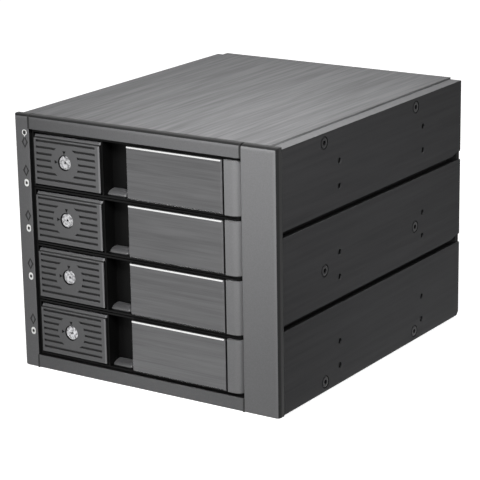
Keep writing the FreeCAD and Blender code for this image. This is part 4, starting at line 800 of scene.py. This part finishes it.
class CAGE_OT_connectors(bpy.types.Operator):
    """Finish the boards and connectors, with their contacts, pins and small board parts"""
    bl_idname = "cage.connectors"
    bl_label = "Boards and connectors"

    def execute(self, context):
        sizes, colours = context.scene.cage_sizes, context.scene.cage_colours
        # Glass epoxy under green solder mask: a glossy dark green with paler tracks.
        dress(["backplane_board", "lamp_board"], solder_mask("solder_masked_glass_epoxy", colours.board))
        # Liquid crystal polymer, moulded in black: a matt, slightly grey black.
        polymer = grained("moulded_connector_polymer", linear("#141415"), sizes.mould_grain, roughness=0.4)
        dress(["drive_sockets", "data_connectors"], polymer)
        # Nylon in its own ivory colour, moulded: the one pale part of the back.
        dress(["power_connectors"], grained("moulded_ivory_nylon", linear("#d8d2bf"), sizes.mould_grain,
                                            roughness=0.45))
        # Gold on bronze: warm bright contacts.
        gold = plated("gold_plated_bronze", linear("#d9b45c"), roughness=0.22)
        # Tin on brass: white pins, softer than chrome.
        tin = plated("tin_plated_brass", linear("#cfd0d2"), roughness=0.25)
        # Drawn aluminium: pale cans with a satin top.
        cans = plated("drawn_aluminium", linear("#bfc1c4"), roughness=0.3)
        # Epoxy moulded in black: chips as dull as slate.
        epoxy = grained("moulded_black_epoxy", linear("#19191a"), sizes.mould_grain, roughness=0.5)

        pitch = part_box("tray_front_2")[0][2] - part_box("tray_front_1")[0][2]
        rise = pitch * np.arange(len(TRAYS))
        turned = (False, True)

        # Twenty-two contacts lie along the floor of each drive socket's slot.
        low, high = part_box("drive_sockets")
        along = np.linspace(low[0] + STRIP_MARGIN, high[0] - STRIP_MARGIN, 22)
        places = spots(along, (low[2] + STRIP_RISE + rise)[:, None])
        grid_piece("drive_socket_contacts", set_in(lofted(STRIP, 16), places, low[1] + STRIP_SINK),
                   turned, gold)
        # A tongue with seven contacts stands in each data connector.
        data_low, data_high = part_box("data_connectors")
        across = (data_low[0] + data_high[0]) / 2
        levels = data_low[2] + (data_high[2] - data_low[2] - rise[-1]) / 2 + rise
        face = data_high[1] - TONGUE_SINK
        grid_piece("data_tongues", set_in(lofted(TONGUE), spots(across, levels), face, -1), turned, polymer)
        places = spots(across, levels[:, None] + np.linspace(-RIB_SPAN, RIB_SPAN, 7))
        grid_piece("data_contacts", set_in(lofted(RIB, 16), places, face - RIB_SINK, -1), turned, gold)
        # Four round pins stand in each of the two power connectors, two trays apart.
        power_low, power_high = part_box("power_connectors")
        across = (power_low[0] + power_high[0]) / 2
        levels = power_low[2] + (power_high[2] - power_low[2] - rise[2]) / 2 + rise[[0, 2]]
        places = spots(across, levels[:, None] + np.linspace(-1.5, 1.5, 4) * PIN_PITCH)
        grid_piece("power_pins", set_in(revolved(PIN, 32), places, power_high[1] - PIN_SINK, -1), turned, tin)
        # Capacitors and chips stand on the board beside the connectors.
        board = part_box("backplane_board")[1][1]
        levels = data_low[2] + rise
        places = spots(power_high[0] + CAN_GAP, levels + CAN_UP)
        grid_piece("board_capacitors", set_in(revolved(CAN, 48), places, board + CAN_TALL, -1), turned, cans)
        places = spots((data_high[0] + power_low[0]) / 2, levels + CHIP_UP)
        grid_piece("board_chips", set_in(lofted(CHIP, 32), places, board + CHIP_TALL, -1), turned, epoxy)
        return {"FINISHED"}


# ---------------------------------------------------------------- printed marks

LAMP_X = -66.65 * MM                        # the middle of the row of lamps and marks
LAMP_SPREAD = 8 * MM                        # more than a lamp, less than the way to the next one
KEY_Z = 116.0 * MM                          # the height of the key mark
DRIVE_MARKS = (91.7, 69.5, 45.7, 18.3)      # the heights of the drive marks, in millimetres
# A drive mark is a can seen flat.  These are shares of its height: its width, its corner radius, the
# width of its line, and half the width of the black spot in it.
MARK_WIDTH, MARK_CORNER, MARK_LINE, MARK_SPOT = 0.72, 0.34, 0.359, 0.18


class CAGE_OT_marks(bpy.types.Operator):
    """Print the key mark, the four drive marks and the lamps' seams on the left post"""
    bl_idname = "cage.marks"
    bl_label = "Printed marks"

    def execute(self, context):
        sizes, colours = context.scene.cage_sizes, context.scene.cage_colours
        # White screen ink: small, crisp and dense, the brightest spots on the post.
        ink = printed("white_screen_ink", colours.ink)
        # Black screen ink: it keeps the white marks' middles and the lamps' edges sharp.
        black = printed("black_screen_ink", linear("#0b0b0b"))
        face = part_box("left_post")[0][1] - sizes.ink_lift
        ring, line, tall = sizes.key_ring, sizes.ink_line, sizes.drive_mark
        loop = rounded_loop(ring * 2, ring * 2, ring * 0.98)
        grid_piece("key_mark_ring", flat_band(loop, line, (LAMP_X, KEY_Z), face), (False, True), ink)
        stem = upright(LAMP_X + np.array([[-0.5], [0.5]]) * line, face, KEY_Z - ring * np.array([2, 1]))
        grid_piece("key_mark_stem", stem, (False, False), ink)
        loop = rounded_loop(tall * MARK_WIDTH, tall, tall * MARK_CORNER)
        for number, height in enumerate(DRIVE_MARKS, start=1):
            band = flat_band(loop, tall * MARK_LINE, (LAMP_X, height * MM), face)
            grid_piece("drive_mark_%d" % number, band, (False, True), ink)
        # The black spots are bands so broad that they nearly close; each is a little taller than wide.
        centres = []
        for height, reach in [(KEY_Z, ring - line)] + [(z * MM, tall * MARK_SPOT) for z in DRIVE_MARKS]:
            loop = rounded_loop(reach * 2, reach * 2.4, reach * 0.95)
            centres.append(flat_band(loop, reach * 0.999, (LAMP_X, height), face - sizes.ink_lift))
        grid_piece("mark_centres", centres, (False, True), black)
        # A black diamond lies round each lamp.
        low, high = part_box("light_pipes")
        wide = (high[0] - low[0]) / 2 + line * 0.7
        lamps = middles("light_pipes", LAMP_SPREAD)
        tall = np.ptp(frame_points("light_pipes", lamps[0], LAMP_SPREAD)[:, 2]) / 2 + line
        diamond = np.array([(wide, 0), (0, tall), (-wide, 0), (0, -tall)])
        seams = [flat_band(diamond, line * 2, (lamp[0], lamp[2]), face) for lamp in lamps]
        grid_piece("lamp_seams", seams, (False, True), black)
        return {"FINISHED"}


# ---------------------------------------------------------------- stage

# Each lamp: its name, its place, the point it faces, its width, its spread in degrees and its power.
# The key lamp shines on the upper right of the front, so that the front shades off downwards and to
# the left.  The top lamp stands behind and over the cage and lights its cover.
LAMPS = (
    ("key_lamp", (0.22, -0.42, 0.44), (0.06, -0.10, 0.150), 0.18, 34, 0.36),
    ("top_lamp", (0.05, 0.80, 1.1), (0.0, 0.0, 0.06), 1.0, 180, 7.5),
)
SURROUND_LIGHT = 0.14      # how bright the surround is as a lamp, though it is seen as full white
FLOOR_GREY, FLOOR_GLOW = 0.5, 0.9
FLOOR_HUB, FLOOR_RADIUS, FLOOR_SIDES = 0.001, 3.0, 64
CAMERA_TURN = (math.radians(33.613), math.radians(16.122), math.radians(-0.987))   # turn, rise and roll
CAMERA_PLACE = (0.53053, -0.81773, 0.33015)
CAMERA_LENS = 152.53575    # in millimetres, on a sensor 36 mm wide


def standing(right, up, back, place):
    """The matrix of a lamp or a camera from its directions to the right, up and back, and its place."""
    matrix = np.eye(4)
    matrix[:3] = np.column_stack([right, up, back, place])
    return Matrix(matrix.tolist())


def soft_lamp(name, place, aim, size, spread, power):
    """A square soft lamp that faces a point, its light kept within a spread in degrees."""
    data = bpy.data.lights.new(name, "AREA")
    data.shape = "SQUARE"
    data.size = size
    data.spread = math.radians(spread)
    data.energy = power
    lamp = bpy.data.objects.new(name, data)
    bpy.context.collection.objects.link(lamp)
    back = np.array(place) - np.array(aim)
    back = back / np.linalg.norm(back)
    side = np.cross((0, 0, 1), back)
    side = side / np.linalg.norm(side)
    lamp.matrix_world = standing(side, np.cross(back, side), back, place)


def seen_straight(tree):
    """1 for rays from the camera, from a mirror or through glass, and 0 for soft light."""
    rays = add(tree, "ShaderNodeLightPath").outputs
    seen = add(tree, "ShaderNodeMath", {0: rays["Is Camera Ray"], 1: rays["Is Glossy Ray"]}, operation="ADD")
    return add(tree, "ShaderNodeMath", {0: seen.outputs[0], 1: rays["Is Transmission Ray"]},
               operation="ADD", use_clamp=True).outputs[0]


class CAGE_OT_stage(bpy.types.Operator):
    """Set the pale floor, the soft lamps, the white surround and the camera"""
    bl_idname = "cage.stage"
    bl_label = "Stage"

    def execute(self, context):
        # A flat round floor under the cage: a ring of faces and a small face in its middle.
        angle = np.linspace(0, 2 * np.pi, FLOOR_SIDES, endpoint=False)
        radius = np.array([[FLOOR_HUB], [FLOOR_RADIUS]])
        points = upright(radius * np.cos(angle), radius * np.sin(angle), CAD_BOX[0][2])
        hub = np.arange(FLOOR_SIDES)
        after = (hub + 1) % FLOOR_SIDES
        ring = np.stack([hub, hub + FLOOR_SIDES, after + FLOOR_SIDES, after], axis=-1)
        mesh = bpy.data.meshes.new("floor")
        mesh.from_pydata(points.reshape(-1, 3).tolist(), [], ring.tolist() + [hub[::-1].tolist()])
        floor = bpy.data.objects.new("floor", mesh)
        context.collection.objects.link(floor)
        # Pale paper, rolled flat: it is seen almost as white, and only the cage's shadow marks it.
        material, tree, shader, _ = start("pale_paper_floor")
        shader.inputs["Base Color"].default_value = (FLOOR_GREY, FLOOR_GREY, FLOOR_GREY, 1)
        shader.inputs["Roughness"].default_value = 0.9
        shader.inputs["Specular IOR Level"].default_value = 0.0
        shader.inputs["Emission Color"].default_value = (1, 1, 1, 1)
        glow = add(tree, "ShaderNodeMath", {0: seen_straight(tree), 1: FLOOR_GLOW}, operation="MULTIPLY")
        tree.links.new(glow.outputs[0], shader.inputs["Emission Strength"])
        mesh.materials.append(material)

        world = bpy.data.worlds.new("surround")
        context.scene.world = world
        world.use_nodes = True
        tree = world.node_tree
        background = tree.nodes["Background"]
        background.inputs["Color"].default_value = (1, 1, 1, 1)
        level = add(tree, "ShaderNodeMapRange", {
            "Value": seen_straight(tree), "To Min": SURROUND_LIGHT, "To Max": 1.0})
        tree.links.new(level.outputs[0], background.inputs["Strength"])

        for lamp in LAMPS:
            soft_lamp(*lamp)

        data = bpy.data.cameras.new("camera")
        data.sensor_width = 36
        data.lens = CAMERA_LENS
        data.clip_end = 20
        camera = bpy.data.objects.new("camera", data)
        context.collection.objects.link(camera)
        turn, rise, roll = CAMERA_TURN
        back = np.array([math.sin(turn) * math.cos(rise), -math.cos(turn) * math.cos(rise), math.sin(rise)])
        level_right = np.array([math.cos(turn), math.sin(turn), 0.0])
        level_up = np.cross(back, level_right)
        right = math.cos(roll) * level_right + math.sin(roll) * level_up
        up = math.cos(roll) * level_up - math.sin(roll) * level_right
        camera.matrix_world = standing(right, up, back, CAMERA_PLACE)
        context.scene.camera = camera
        context.scene.view_settings.view_transform = "Standard"
        return {"FINISHED"}


# ---------------------------------------------------------------- add-on

OPERATORS = (CAGE_OT_bezel, CAGE_OT_body, CAGE_OT_trays, CAGE_OT_locks, CAGE_OT_rear, CAGE_OT_connectors,
             CAGE_OT_marks, CAGE_OT_stage)


class CAGE_PT_panel(bpy.types.Panel):
    """Sizes, colours and build steps of the drive cage"""
    bl_idname = "CAGE_PT_panel"
    bl_label = "Drive Cage"
    bl_space_type = "VIEW_3D"
    bl_region_type = "UI"
    bl_category = "Drive Cage"

    def draw(self, context):
        for group in (context.scene.cage_sizes, context.scene.cage_colours):
            for key in group.__annotations__:
                self.layout.prop(group, key)
        for operator in OPERATORS:
            self.layout.operator(operator.bl_idname)


CLASSES = (CageSizes, CageColours, *OPERATORS, CAGE_PT_panel)


def register():
    """Add the classes and the scene's sizes and colours."""
    for one in CLASSES:
        bpy.utils.register_class(one)
    bpy.types.Scene.cage_sizes = PointerProperty(type=CageSizes)
    bpy.types.Scene.cage_colours = PointerProperty(type=CageColours)


def unregister():
    """Take away what register added."""
    del bpy.types.Scene.cage_colours
    del bpy.types.Scene.cage_sizes
    for one in reversed(CLASSES):
        bpy.utils.unregister_class(one)


def main():
    """Build the whole scene."""
    register()
    bpy.ops.cage.bezel()
    bpy.ops.cage.body()
    bpy.ops.cage.trays()
    bpy.ops.cage.locks()
    bpy.ops.cage.rear()
    bpy.ops.cage.connectors()
    bpy.ops.cage.marks()
    bpy.ops.cage.stage()


if __name__ == "__main__":
    main()
